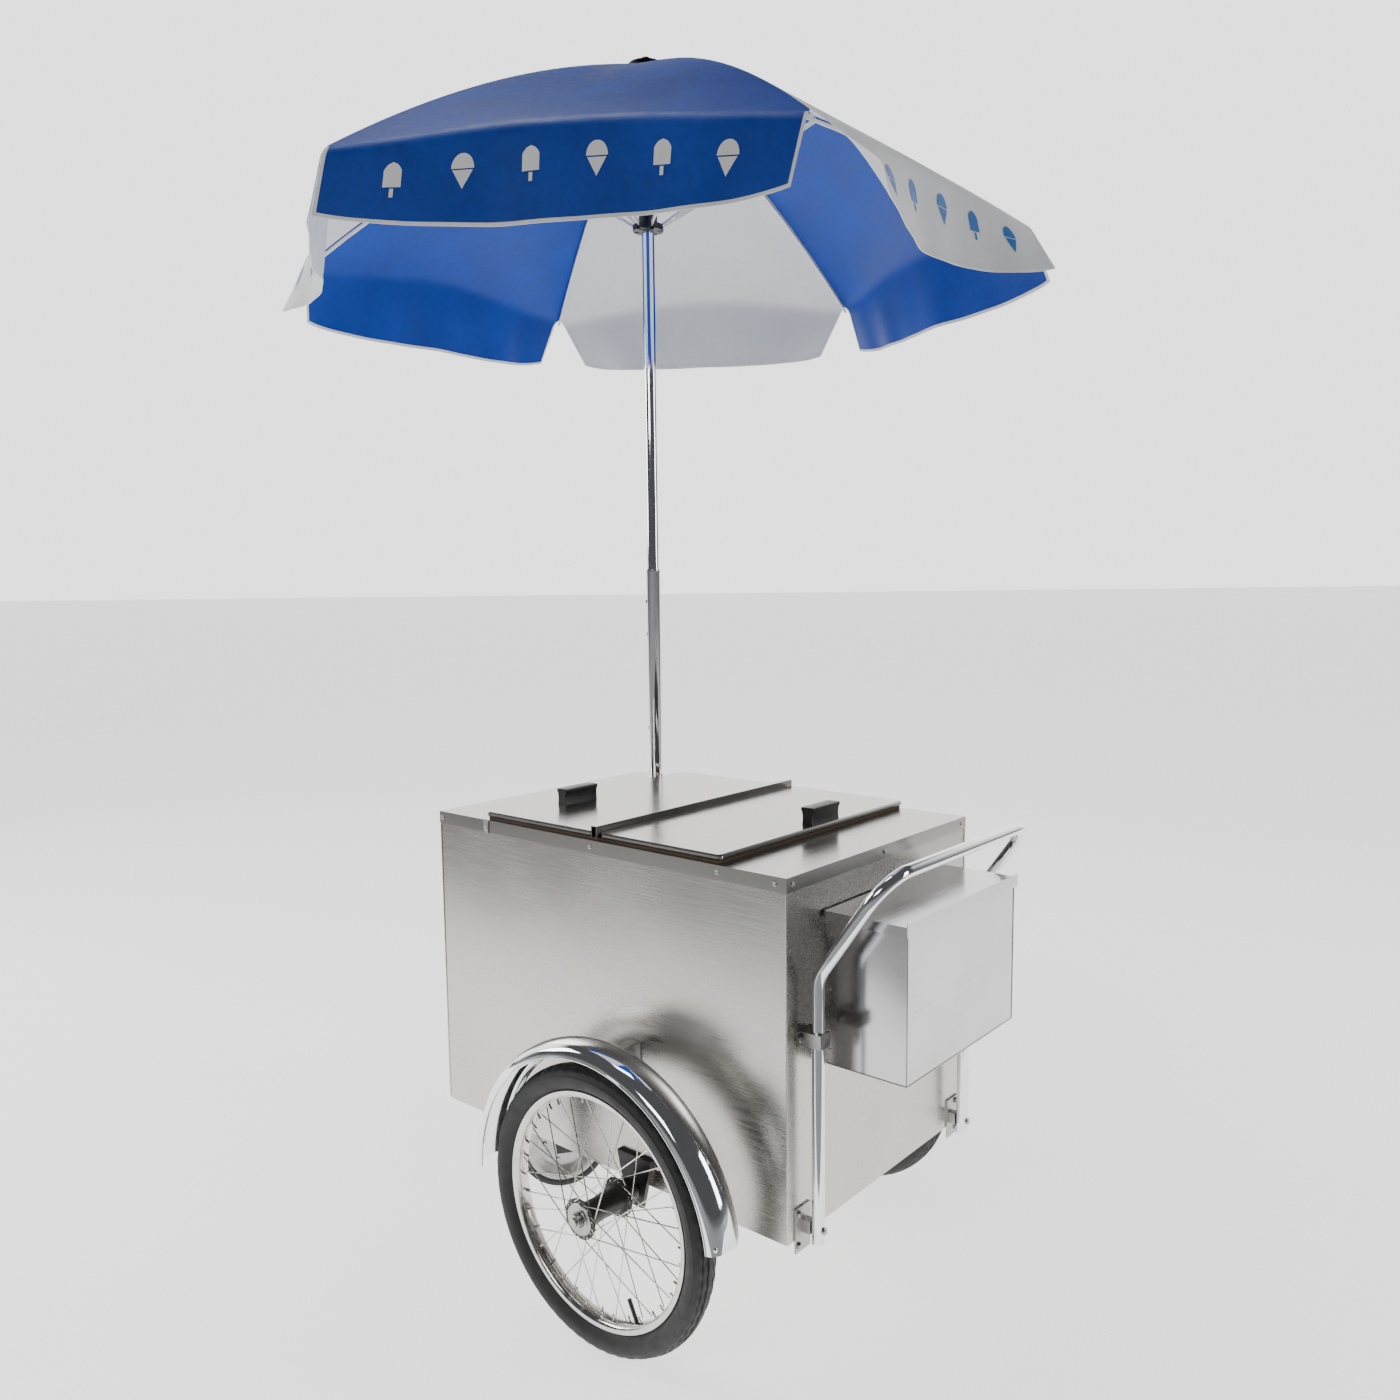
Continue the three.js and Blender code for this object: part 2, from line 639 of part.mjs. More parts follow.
function buildUnderframe(name, side) {
  const y0 = side * (railOuterY - RAIL);
  const y1 = side * railOuterY;
  const railEnd = shellRearX - RAIL_END_SETBACK;
  const axleHole = AXLE_DIAMETER / 2 + FIT;
  const rail = cut(
    joined(block(-railEnd, railEnd, y0, y1, railBottomZ, railTopZ)),
    spindle(axleHole, AXLE_X, axleZ, y0 - side, y1 + side, 16),
  );
  piece("frame_rail_" + name, rail, blackSteel);

  const half = BRACKET_LENGTH / 2;
  const plateY = side * (shellSideY + FIT);
  const outerY = plateY + side * BRACKET_THICKNESS;
  const outline = [
    [AXLE_X - half, axleZ + BRACKET_ABOVE_AXLE],
    [AXLE_X - half * BRACKET_FOOT, axleZ - BRACKET_BELOW_AXLE],
    [AXLE_X + half * BRACKET_FOOT, axleZ - BRACKET_BELOW_AXLE],
    [AXLE_X + half, axleZ + BRACKET_ABOVE_AXLE],
  ];
  const bracket = cut(
    joined(upright(outline, Math.min(plateY, outerY), Math.max(plateY, outerY))),
    spindle(axleHole, AXLE_X, axleZ, plateY - side, outerY + side, 16),
  );
  piece("axle_bracket_" + name, bracket, blackSteel);
}

function buildAxle() {
  const radius = AXLE_DIAMETER / 2;
  const nut = NUT_DIAMETER / 2;
  const end = wheelY + AXLE_END;
  const nutStart = end - THREAD_PAST_NUT - NUT_LENGTH;
  const profile = [
    [0, -end],
    [radius, -end],
    [radius, -nutStart - NUT_LENGTH],
    [nut, -nutStart - NUT_LENGTH],
    [nut, -nutStart],
    [radius, -nutStart],
    [radius, nutStart],
    [nut, nutStart],
    [nut, nutStart + NUT_LENGTH],
    [radius, nutStart + NUT_LENGTH],
    [radius, end],
    [0, end],
  ];
  piece("axle", turned(profile, 16).translate(AXLE_X, 0, axleZ), zinc);
}

function tyreShape() {
  const outer = TYRE_DIAMETER / 2;
  const half = TYRE_WIDTH / 2;
  const bead = RIM_WIDTH / 2 - RIM_SHEET - FIT;
  const seat = rimRadius - RIM_DEPTH + RIM_SHEET + TYRE_SEAT_GAP;
  const shoulder = outer - TYRE_SHOULDER_DROP;
  const bulge = rimRadius + (outer - rimRadius) * TYRE_BULGE;
  const profile = [
    [seat, -bead],
    [rimRadius + BEAD_RISE, -bead],
    [bulge, -half],
    [shoulder, -half * TYRE_SHOULDER],
    [outer, -half * TYRE_TREAD],
    [outer, half * TYRE_TREAD],
    [shoulder, half * TYRE_SHOULDER],
    [bulge, half],
    [rimRadius + BEAD_RISE, bead],
    [seat, bead],
  ];
  return turned(profile, WHEEL_SIDES);
}

function rimShape() {
  const half = RIM_WIDTH / 2;
  const bed = rimRadius - RIM_DEPTH;
  const profile = [
    [bed, -half],
    [rimRadius, -half],
    [rimRadius, -half + RIM_SHEET],
    [bed + RIM_SHEET, -half + RIM_SHEET],
    [bed + RIM_SHEET, half - RIM_SHEET],
    [rimRadius, half - RIM_SHEET],
    [rimRadius, half],
    [bed, half],
  ];
  return turned(profile, WHEEL_SIDES);
}

// Hub barrel, two flanges and the crossed spokes. "inner" is +1 or -1, towards the cabinet.
function hubShape(inner) {
  const bore = AXLE_DIAMETER / 2 + RUNNING_FIT;
  const outerFlange = -inner * FLANGE_SPACING;
  const innerFlange = inner * FLANGE_SPACING;
  const barrelEnds = [outerFlange - inner * FLANGE_THICKNESS, inner * BARREL_INNER_REACH];
  const [y0, y1] = [Math.min(...barrelEnds), Math.max(...barrelEnds)];
  const barrel = turned(
    [[bore, y0], [BARREL_RADIUS, y0], [BARREL_RADIUS, y1], [bore, y1]],
    HUB_SIDES,
  );
  const eye = bore + 1;
  const flanges = [outerFlange, innerFlange].map((y) => {
    const [a, b] = [y - FLANGE_THICKNESS / 2, y + FLANGE_THICKNESS / 2];
    const ring = [[eye, a], [FLANGE_RADIUS, a], [FLANGE_RADIUS, b], [eye, b]];
    return turned(ring, HUB_SIDES);
  });
  const spokes = [];
  const perFlange = SPOKE_COUNT / 2;
  const rimReach = rimRadius - RIM_DEPTH - NIPPLE_GAP;
  const root = FLANGE_RADIUS - SPOKE_ROOT;
  for (let i = 0; i < SPOKE_COUNT; i++) {
    const flange = i % 2;
    const index = Math.floor(i / 2);
    const lean = index % 2 ? -1 : 1;
    const hubAngle = ((index + flange / 2) * 360) / perFlange;
    const rimAngle = hubAngle + lean * SPOKE_CROSSING;
    const flangeY = flange ? outerFlange : innerFlange;
    const hubSide = (lean * FLANGE_THICKNESS) / 2;
    const rimSide = lean * SPOKE_DIAMETER * SPOKE_STAGGER;
    const from = new THREE.Vector3(
      root * Math.cos(hubAngle * RAD),
      flangeY + hubSide,
      root * Math.sin(hubAngle * RAD),
    );
    const to = new THREE.Vector3(
      rimReach * Math.cos(rimAngle * RAD),
      Math.sign(flangeY) * SPOKE_RIM_SPREAD + rimSide,
      rimReach * Math.sin(rimAngle * RAD),
    );
    spokes.push(strut(from, to, SPOKE_DIAMETER / 2, SPOKE_SIDES));
  }
  return joined(barrel, ...flanges, ...spokes);
}

function buildWheel(name, side) {
  const wheel = new THREE.Group();
  wheel.position.set(AXLE_X, side * wheelY, axleZ);
  piece("tyre_" + name, tyreShape(), rubber, wheel);
  piece("rim_" + name, rimShape(), chrome, wheel);
  piece("hub_and_spokes_" + name, hubShape(-side), zinc, wheel);
  cart.add(wheel);
}

function guardShape() {
  const half = GUARD_WIDTH / 2;
  const outer = [];
  const inner = [];
  for (let i = 0; i <= GUARD_SECTION_STEPS; i++) {
    const angle = ((i / GUARD_SECTION_STEPS) * 2 - 1) * (Math.PI / 2);
    const y = half * Math.sin(angle);
    const rise = GUARD_CROWN * Math.cos(angle);
    outer.push([guardEdgeRadius + rise + GUARD_SHEET, y]);
    inner.push([guardEdgeRadius + rise, y * (1 - GUARD_SHEET / half)]);
  }
  const ring = turned([...outer, ...inner.reverse()], GUARD_SIDES);
  const far = guardEdgeRadius * 2;
  const lift = far * Math.tan((90 - GUARD_REAR_ANGLE) * RAD);
  const below = [[0, 0], [-far, 0], [-far, -far], [far, -far], [far, lift]];
  return cut(joined(ring), upright(below, -half * 2, half * 2));
}

function buildGuard(name, side) {
  const guard = new THREE.Group();
  guard.position.set(AXLE_X, side * wheelY, axleZ);
  piece("mudguard_" + name, guardShape(), chrome, guard);
  cart.add(guard);

  const half = STAY_WIDTH / 2;
  const wallY = shellSideY + FIT;
  const guardY = wheelY - GUARD_WIDTH / 2 - FIT;
  const z = axleZ + guardEdgeRadius - STAY_BELOW_EDGE;
  const armHalf = half * STAY_ARM;
  const plate = [side * wallY, side * (wallY + STAY_SHEET)];
  const arm = [side * wallY, side * guardY];
  const stay = joined(
    block(AXLE_X - half, AXLE_X + half, plate[0], plate[1], z - STAY_PLATE_DROP, z + STAY_SHEET),
    block(AXLE_X - armHalf, AXLE_X + armHalf, arm[0], arm[1], z, z + STAY_SHEET),
  );
  piece("mudguard_stay_" + name, stay, zinc);
}

// ---------------------------------------------------------------- push handle

function buildHandle() {
  const corner = (x, y, z) => new THREE.Vector3(x, y, z);
  const corners = [
    corner(legX, -HANDLE_SPREAD, handleFootZ),
    corner(legX, -HANDLE_SPREAD, handleBendZ),
    corner(gripX, -HANDLE_SPREAD, handleGripZ),
    corner(gripX, HANDLE_SPREAD, handleGripZ),
    corner(legX, HANDLE_SPREAD, handleBendZ),
    corner(legX, HANDLE_SPREAD, handleFootZ),
  ];
  const stations = bentStations(corners, HANDLE_BEND_RADIUS, HANDLE_BEND_STEPS);
  piece("handlebar", sweptTube(stations, HANDLE_DIAMETER / 2, HANDLE_SIDES), chrome);
}

function buildHandleFixings(name, side) {
  const wallX = shellRearX + FIT;
  const tubeX = legX - HANDLE_DIAMETER / 2 - FIT;
  const y = side * HANDLE_SPREAD;
  const bossHalf = FOOT_BOSS_WIDTH / 2;
  const plateX = wallX + FOOT_PLATE_THICKNESS;
  const y0 = y - side * FOOT_PLATE_INNER;
  const y1 = y0 + side * FOOT_PLATE_WIDTH;
  const bossZ = footPlateZ + FOOT_BOSS_RISE;
  const plate = joined(
    block(wallX, plateX, y0, y1, footPlateZ, footPlateTopZ),
    block(wallX, tubeX, y - bossHalf, y + bossHalf, bossZ, bossZ + FOOT_BOSS_HEIGHT),
  );
  piece("foot_bracket_" + name, plate, zinc);

  const [z0, z1] = [clampZ - CLAMP_HEIGHT / 2, clampZ + CLAMP_HEIGHT / 2];
  const clampHalf = HANDLE_DIAMETER / 2 + CLAMP_STRAP;
  const strapX = legX + clampHalf;
  const clamp = cut(
    joined(
      block(wallX, plateX, y - CLAMP_WIDTH / 2, y + CLAMP_WIDTH / 2, z0, z1),
      block(wallX, strapX, y - clampHalf, y + clampHalf, z0, z1),
    ),
    post(HANDLE_DIAMETER / 2 + FIT, legX, y, z0 - 1, z1 + 1, 16),
  );
  piece("handle_clamp_" + name, clamp, zinc);
}

// ---------------------------------------------------------------- utility box

function buildUtilityBox() {
  const x0 = shellRearX + FIT;
  const x1 = rearX + BOX_DEPTH;
  const y = BOX_WIDTH / 2;
  const box = cut(
    joined(block(x0, x1, -y, y, boxBottomZ, boxTopZ)),
    block(
      x0 + BOX_SHEET,
      x1 - BOX_SHEET,
      -y + BOX_SHEET,
      y - BOX_SHEET,
      boxBottomZ + BOX_SHEET,
      boxTopZ + 1,
    ),
  );
  piece("utility_box", box, galvanised);

  const lidX0 = rearX + BOX_LID_HINGE_GAP;
  const cheekX = lidX0 + BOX_LID_CHEEK_GAP;
  const lidX1 = x1 + BOX_LID_FRONT_OVERHANG;
  const lidY = y + BOX_LID_OVERHANG;
  const lidZ = boxTopZ + BOX_LID_GAP;
  const lidTop = lidZ + BOX_LID_SHEET;
  const sheet = BOX_LID_SHEET;
  const lid = joined(
    block(lidX0, lidX1, -lidY, lidY, lidZ, lidTop),
    block(cheekX, lidX1, -lidY, -lidY + sheet, lidTop - BOX_LID_LIP, lidTop),
    block(cheekX, lidX1, lidY - sheet, lidY, lidTop - BOX_LID_LIP, lidTop),
    block(lidX1 - sheet, lidX1, -lidY, lidY, lidTop - BOX_LID_LIP, lidTop + BOX_LID_TURN_UP),
  );
  piece("utility_lid", lid, galvanised);
}

// ---------------------------------------------------------------- caster

function buildCaster() {
  const half = CASTER_PLATE_LENGTH / 2;
  const plateY = railOuterY;
  const plate = block(
    casterX - half,
    casterX + half,
    -plateY,
    plateY,
    casterPlateZ,
    casterPlateZ + CASTER_PLATE,
  );
  piece("caster_plate", plate, blackSteel);

  const caster = new THREE.Group();
  caster.position.set(casterX, 0, 0);
  caster.rotation.z = CASTER_TURN * RAD;
  cart.add(caster);

  const topZ = casterPlateZ - FIT;
  const crownTop = topZ - FORK_BEARING_HEIGHT;
  const crownBottom = crownTop - FORK_SHEET * 2;
  const gap = FORK_GAP / 2;
  const outer = gap + FORK_SHEET;
  const hubX = -CASTER_TRAIL;
  const legFoot = casterRadius - FORK_FOOT_DROP;
  const leg = [
    [hubX - FORK_FOOT, legFoot],
    [hubX + FORK_FOOT, legFoot],
    [hubX + FORK_KNEE, casterRadius + FORK_KNEE],
    [hubX + FORK_FRONT, crownBottom + 1],
    [hubX + FORK_FRONT, crownTop],
    [hubX - FORK_BACK, crownTop],
    [hubX - FORK_BACK, casterRadius + FORK_BACK_KNEE],
  ];
  const boltEnd = outer + FORK_BOLT_REACH;
  const fork = joined(
    post(FORK_BEARING_RADIUS, 0, 0, crownTop - 1, topZ, 20),
    block(hubX - FORK_BACK, hubX + FORK_FRONT, -outer, outer, crownBottom, crownTop),
    upright(leg, -outer, -gap),
    upright(leg, gap, outer),
    spindle(FORK_BOLT / 2, hubX, casterRadius, -boltEnd, boltEnd, 12),
  );
  piece("caster_fork", fork, blackSteel, caster);

  const wheel = new THREE.Group();
  wheel.position.set(hubX, 0, casterRadius);
  caster.add(wheel);
  const tread = CASTER_WIDTH / 2;
  const seat = casterRadius - CASTER_TYRE;
  const tyre = [
    [seat + FIT, -tread],
    [casterRadius - CASTER_SHOULDER, -tread],
    [casterRadius - CASTER_CROWN, -tread * CASTER_CROWN_WIDTH],
    [casterRadius, 0],
    [casterRadius - CASTER_CROWN, tread * CASTER_CROWN_WIDTH],
    [casterRadius - CASTER_SHOULDER, tread],
    [seat + FIT, tread],
  ];
  piece("caster_tyre", turned(tyre, CASTER_SIDES), rubber, wheel);
  const bore = FORK_BOLT / 2 + RUNNING_FIT;
  const hub = FORK_GAP / 2 - 1;
  const edge = tread - DISC_EDGE_INSET;
  const disc = [
    [bore, -hub],
    [DISC_HUB_RADIUS, -hub],
    [DISC_WEB_START, -DISC_WEB_AT_HUB],
    [seat - DISC_WEB_END, -DISC_WEB],
    [seat - DISC_FLANGE, -edge],
    [seat, -edge],
    [seat, edge],
    [seat - DISC_FLANGE, edge],
    [seat - DISC_WEB_END, DISC_WEB],
    [DISC_WEB_START, DISC_WEB_AT_HUB],
    [DISC_HUB_RADIUS, hub],
    [bore, hub],
  ];
  piece("caster_disc", turned(disc, CASTER_SIDES), zinc, wheel);
}

// ---------------------------------------------------------------- mast and umbrella

function sideHole(diameter, z) {
  const reach = LOWER_MAST_DIAMETER;
  const direction = new THREE.Vector3(
    Math.cos(BUTTON_DIRECTION * RAD),
    Math.sin(BUTTON_DIRECTION * RAD),
    0,
  );
  const middle = new THREE.Vector3(mastX, mastY, z);
  return strut(middle, middle.clone().addScaledVector(direction, reach), diameter / 2, 12);
}

function buildMast() {
  const outer = LOWER_MAST_DIAMETER / 2;
  const lower = cut(
    joined(
      tubeUpright(outer, outer - POLE_SHEET, mastX, mastY, lowerMastFootZ, LOWER_MAST_TOP_Z, 20),
    ),
    sideHole(BUTTON_HOLE, BUTTON_Z),
    sideHole(BUTTON_HOLE, SPARE_HOLE_Z),
    sideHole(BUTTON_HOLE, BUTTON_Z - POLE_TRAVEL),
  );
  piece("lower_mast", lower, chrome);

  const radius = upperPoleDiameter / 2;
  const crownBottom = crownZ - CROWN_HEIGHT;
  const pole = cut(
    joined(
      tubeUpright(
        radius,
        radius - POLE_SHEET,
        mastX,
        mastY,
        UPPER_POLE_FOOT_Z,
        crownBottom - FIT,
        20,
      ),
    ),
    sideHole(BUTTON_HOLE, BUTTON_Z),
  );
  piece("upper_pole", pole, chrome);

  const along = (reach) =>
    new THREE.Vector3(
      mastX + reach * Math.cos(BUTTON_DIRECTION * RAD),
      mastY + reach * Math.sin(BUTTON_DIRECTION * RAD),
      BUTTON_Z,
    );
  const button = strut(along(radius - BUTTON_ROOT), along(outer + BUTTON_STAND_OUT), BUTTON_DIAMETER / 2, 12);
  piece("snap_button", button, blackPlastic);
}

// Cuts six radial slots of the given width into a round piece, from the core outwards.
function slotted(shape, core, reach, width, z0, z1) {
  const slots = [];
  for (let k = 0; k < RIB_COUNT; k++) {
    const slot = block(core, reach, -width / 2, width / 2, z0 - 1, z1 + 1);
    slots.push(slot.rotateZ((FIRST_RIB_AZIMUTH + (360 / RIB_COUNT) * k) * RAD));
  }
  return cut(shape, ...slots);
}

const umbrella = new THREE.Group();
umbrella.position.set(mastX, mastY, 0);
cart.add(umbrella);

function buildCrownAndRunner() {
  const crownBottom = crownZ - CROWN_HEIGHT;
  const capZ = crownZ + CAP_LIFT;
  const hub = slotted(
    joined(post(CROWN_RADIUS, 0, 0, crownBottom, crownZ, 24)),
    CROWN_CORE,
    CROWN_RADIUS + 2,
    RIB_WIDTH + 2 * SLOT_CLEARANCE,
    crownBottom,
    crownZ,
  );
  const capProfile = [
    [0, crownZ - 1],
    [CROWN_CORE - 1, crownZ - 1],
    [CROWN_CORE - 1, capZ],
    [FINIAL_CAP_RADIUS, capZ],
    [FINIAL_CAP_RADIUS, capZ + FINIAL_SKIRT],
    [FINIAL_KNOB_RADIUS, capZ + FINIAL_SHOULDER],
    [FINIAL_KNOB_RADIUS, capZ + FINIAL_HEIGHT - FINIAL_CHAMFER],
    [FINIAL_KNOB_RADIUS - FINIAL_CHAMFER, capZ + FINIAL_HEIGHT],
    [0, capZ + FINIAL_HEIGHT],
  ];
  const cap = turned(capProfile, 20).rotateX(Math.PI / 2);
  piece("crown", hub.add(solid(cap)), blackPlastic, umbrella);

  const z0 = runnerHingeZ - RUNNER_FLANGE / 2 - RUNNER_HINGE_RAISE;
  const bore = upperPoleDiameter / 2 + RUNNING_FIT;
  const flangeTop = z0 + RUNNER_FLANGE;
  const body = cut(
    joined(
      post(RUNNER_RADIUS, 0, 0, z0, flangeTop, 24),
      post(RUNNER_CORE, 0, 0, z0, z0 + RUNNER_HEIGHT, 24),
    ),
    post(bore, 0, 0, z0 - 1, z0 + RUNNER_HEIGHT + 1, 20),
  );
  const runner = slotted(
    body,
    RUNNER_CORE,
    RUNNER_RADIUS + 2,
    STRETCHER_TONGUE + 2 * SLOT_CLEARANCE,
    z0,
    flangeTop,
  );
  piece("runner", runner, blackPlastic, umbrella);
}

// Height of a rib's middle line at a radius from the mast.
function ribZ(radius) {
  return crownZ - RIB_SLOPE * radius - RIB_CURVE * radius ** 2;
}

function ribShape() {
  const upper = [];
  const lower = [];
  for (let i = 0; i <= RIB_SEGMENTS; i++) {
    const radius = RIB_INNER_END + ((TIP_RADIUS - RIB_INNER_END) * i) / RIB_SEGMENTS;
    upper.push([radius, ribZ(radius) + RIB_DEPTH / 2 - RIB_DROP]);
    lower.push([radius, ribZ(radius) - RIB_DEPTH / 2 - RIB_DROP]);
  }
  const bar = upright([...lower, ...upper.reverse()], -RIB_WIDTH / 2, RIB_WIDTH / 2);
  const pinHalf = RIB_WIDTH / 2 + 1;
  const pin = spindle(
    RIB_PIN_DIAMETER / 2,
    STRETCHER_RIB_RADIUS,
    ribZ(STRETCHER_RIB_RADIUS) - RIB_DROP,
    -pinHalf,
    pinHalf,
    10,
  );
  return joined(bar, pin);
}

// A tongue in the runner that opens into two side bars, which pass on both sides of the rib.
function stretcherShape() {
  const rise = ribZ(STRETCHER_RIB_RADIUS) - RIB_DROP - runnerHingeZ;
  const run = STRETCHER_RIB_RADIUS - STRETCHER_HINGE_RADIUS;
  const length = Math.hypot(run, rise);
  const half = STRETCHER_DEPTH / 2;
  const inner = RIB_WIDTH / 2 + STRETCHER_RIB_GAP;
  const outer = inner + STRETCHER_BAR;
  const tongue = STRETCHER_TONGUE / 2;
  const bridge = TONGUE_LENGTH - BRIDGE_LENGTH;
  const end = length + STRETCHER_PAST_PIN;
  const shape = joined(
    block(-TONGUE_ROOT, TONGUE_LENGTH, -tongue, tongue, -half, half),
    block(bridge, TONGUE_LENGTH, -outer, outer, -half, half),
    block(bridge, end, -outer, -inner, -half, half),
    block(bridge, end, inner, outer, -half, half),
  );
  const geometry = geometryOf(shape);
  geometry.rotateY(-Math.atan2(rise, run));
  return geometry.translate(STRETCHER_HINGE_RADIUS, 0, runnerHingeZ);
}

// A point of the canopy's underside: "along" runs from 0 at the crown to 1 at the edge, "across"
// from -1 to 1 between the two seams' halfway lines, with the rib at 0.
function canopyPoint(along, across, lift) {
  const reach = TIP_RADIUS + CANOPY_TIP_OVERHANG;
  const radius = CANOPY_HOLE_RADIUS + (reach - CANOPY_HOLE_RADIUS) * along;
  const halfGore = Math.PI / RIB_COUNT;
  const share = Math.abs(across);
  const middle = radius * Math.cos(halfGore) - EDGE_INSET * along ** 3 * across ** 2;
  const seamX = middle * Math.cos(halfGore) + FIT * Math.sin(halfGore);
  const seamY = middle * Math.sin(halfGore) - FIT * Math.cos(halfGore);
  const x = radius * (1 - share) + seamX * share;
  const y = seamY * across;
  const z = ribZ(radius) + CANOPY_ABOVE_RIB + EDGE_RISE * along ** 3 * across ** 2 + lift;
  return new THREE.Vector3(x, y, z);
}

// The canopy over one rib with the valance that hangs from its edge, as one thin closed sheet.
function canopyShape() {
  const rows = CANOPY_ROWS + 2;
  const columns = CANOPY_COLUMNS;
  const grid = (lift) => {
    const sheet = [];
    for (let row = 0; row <= rows; row++) {
      const line = [];
      for (let column = 0; column <= columns; column++) {
        const across = (2 * column) / columns - 1;
        const along = Math.min(row / CANOPY_ROWS, 1);
        const point = canopyPoint(along, across, lift);
        const fall = Math.max(row - CANOPY_ROWS, 0) / 2;
        const spread = 1 + ((lift + VALANCE_FLARE) * fall + lift * (row >= CANOPY_ROWS)) / TIP_RADIUS;
        point.x *= spread;
        point.y *= spread;
        point.z -= VALANCE_DROP * fall;
        line.push(point);
      }
      sheet.push(line);
    }
    return sheet;
  };
  const upper = grid(CANOPY_THICKNESS);
  const lower = grid(0);
  const corners = [];
  const quad = (a, b, c, d) => corners.push(a, b, c, a, c, d);
  for (let row = 0; row < rows; row++) {
    for (let column = 0; column < columns; column++) {
      const [r, c] = [row + 1, column + 1];
      quad(upper[row][column], upper[r][column], upper[r][c], upper[row][c]);
      quad(lower[row][column], lower[row][c], lower[r][c], lower[r][column]);
    }
    quad(lower[row][0], lower[row + 1][0], upper[row + 1][0], upper[row][0]);
    quad(upper[row][columns], upper[row + 1][columns], lower[row + 1][columns], lower[row][columns]);
  }
  for (let column = 0; column < columns; column++) {
    const next = column + 1;
    quad(lower[0][next], lower[0][column], upper[0][column], upper[0][next]);
    quad(lower[rows][column], lower[rows][next], upper[rows][next], upper[rows][column]);
  }
  const geometry = new THREE.BufferGeometry().setFromPoints(corners);
  return mergeVertices(geometry, 1e-4);
}

function buildRib(index) {
  const spoke = new THREE.Group();
  spoke.rotation.z = (FIRST_RIB_AZIMUTH + (360 / RIB_COUNT) * index) * RAD;
  umbrella.add(spoke);
  const number = index + 1;
  piece("rib_" + number, ribShape(), whitePaint, spoke);
  piece("stretcher_" + number, stretcherShape(), whitePaint, spoke);
  piece("canopy_" + number, canopyShape(), blueCloth, spoke);
}

// ---------------------------------------------------------------- assembly

buildCabinet();
buildGasket();
buildLid();
buildAxle();
for (const [name, side] of [["near", -1], ["far", 1]]) {
  buildUnderframe(name, side);
  buildWheel(name, side);
  buildGuard(name, side);
  buildHandleFixings(name, side);
}
buildHandle();
buildUtilityBox();
buildCaster();
buildMast();
buildCrownAndRunner();
for (let index = 0; index < RIB_COUNT; index++) buildRib(index);

// The origin goes to the bottom centre of the bounding box.
cart.updateMatrixWorld(true);
const extent = new THREE.Box3().setFromObject(cart, true);
const centre = extent.getCenter(new THREE.Vector3());
cart.position.set(-centre.x, -centre.y, -extent.min.z);
cart.updateMatrixWorld(true);

export default cart;
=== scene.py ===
"""Looks of the push vending cart: stainless tub, spoked wheels, push handle and umbrella.

Lengths are metres in the shared frame: +Z up, +X towards the push handle, -Y the near side.
"""

import json
import logging
import math
from dataclasses import dataclass, field
from enum import Enum
from typing import Callable, Iterable, Sequence

import bmesh
import bpy
from mathutils import Matrix, Vector


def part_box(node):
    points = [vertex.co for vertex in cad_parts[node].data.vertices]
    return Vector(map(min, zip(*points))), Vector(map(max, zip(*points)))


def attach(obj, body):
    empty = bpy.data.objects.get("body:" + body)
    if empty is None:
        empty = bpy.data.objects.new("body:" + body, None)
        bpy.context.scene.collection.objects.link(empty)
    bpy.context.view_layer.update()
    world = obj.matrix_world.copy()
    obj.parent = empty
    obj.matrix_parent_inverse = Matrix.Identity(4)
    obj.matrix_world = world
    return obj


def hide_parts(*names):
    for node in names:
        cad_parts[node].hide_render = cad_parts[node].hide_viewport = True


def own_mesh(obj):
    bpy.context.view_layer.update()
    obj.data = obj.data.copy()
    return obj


Point = tuple[float, float, float]
Colour = tuple[float, float, float]
Outline = tuple[float, float, Callable[[float], float]]
Piece = bpy.types.Object
Socket = bpy.types.NodeSocket
Tree = bpy.types.NodeTree

LOG = logging.getLogger("push_cart")
NOISE_LOW, NOISE_HIGH = 0.3, 0.7
BUMP_DEPTH = 0.001
MERGE_DISTANCE = 1e-6
SMOOTH_BELOW_DEGREES = 35
FULL_TURN = 2 * math.pi

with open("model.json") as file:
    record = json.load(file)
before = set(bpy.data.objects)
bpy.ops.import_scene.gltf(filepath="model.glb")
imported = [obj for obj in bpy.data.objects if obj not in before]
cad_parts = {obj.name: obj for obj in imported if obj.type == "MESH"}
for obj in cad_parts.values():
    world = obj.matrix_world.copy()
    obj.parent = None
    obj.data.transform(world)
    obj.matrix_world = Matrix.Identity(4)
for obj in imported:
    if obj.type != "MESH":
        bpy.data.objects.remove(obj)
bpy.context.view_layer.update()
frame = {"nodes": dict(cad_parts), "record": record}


class Side(Enum):
    """The two long sides of the cart, with their direction along Y."""

    NEAR = ("near", -1.0)
    FAR = ("far", 1.0)

    @property
    def label(self) -> str:
        """The word that the side's pieces carry in their names."""
        return self.value[0]

    @property
    def sign(self) -> float:
        """-1 for the near side and +1 for the far side."""
        return self.value[1]


class Grain(Enum):
    """The direction in which a sheet was brushed, as noise scales along X, Y and Z."""

    ALONG_X = (9.0, 420.0, 420.0)
    ALONG_Y = (420.0, 9.0, 420.0)
    UPRIGHT = (420.0, 420.0, 9.0)
    NONE = (60.0, 60.0, 60.0)


def middle(node: str) -> Vector:
    """The centre of a CAD node's box."""
    low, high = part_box(node)
    return (Vector(low) + Vector(high)) / 2


# ------------------------------------------------------------------ finishes


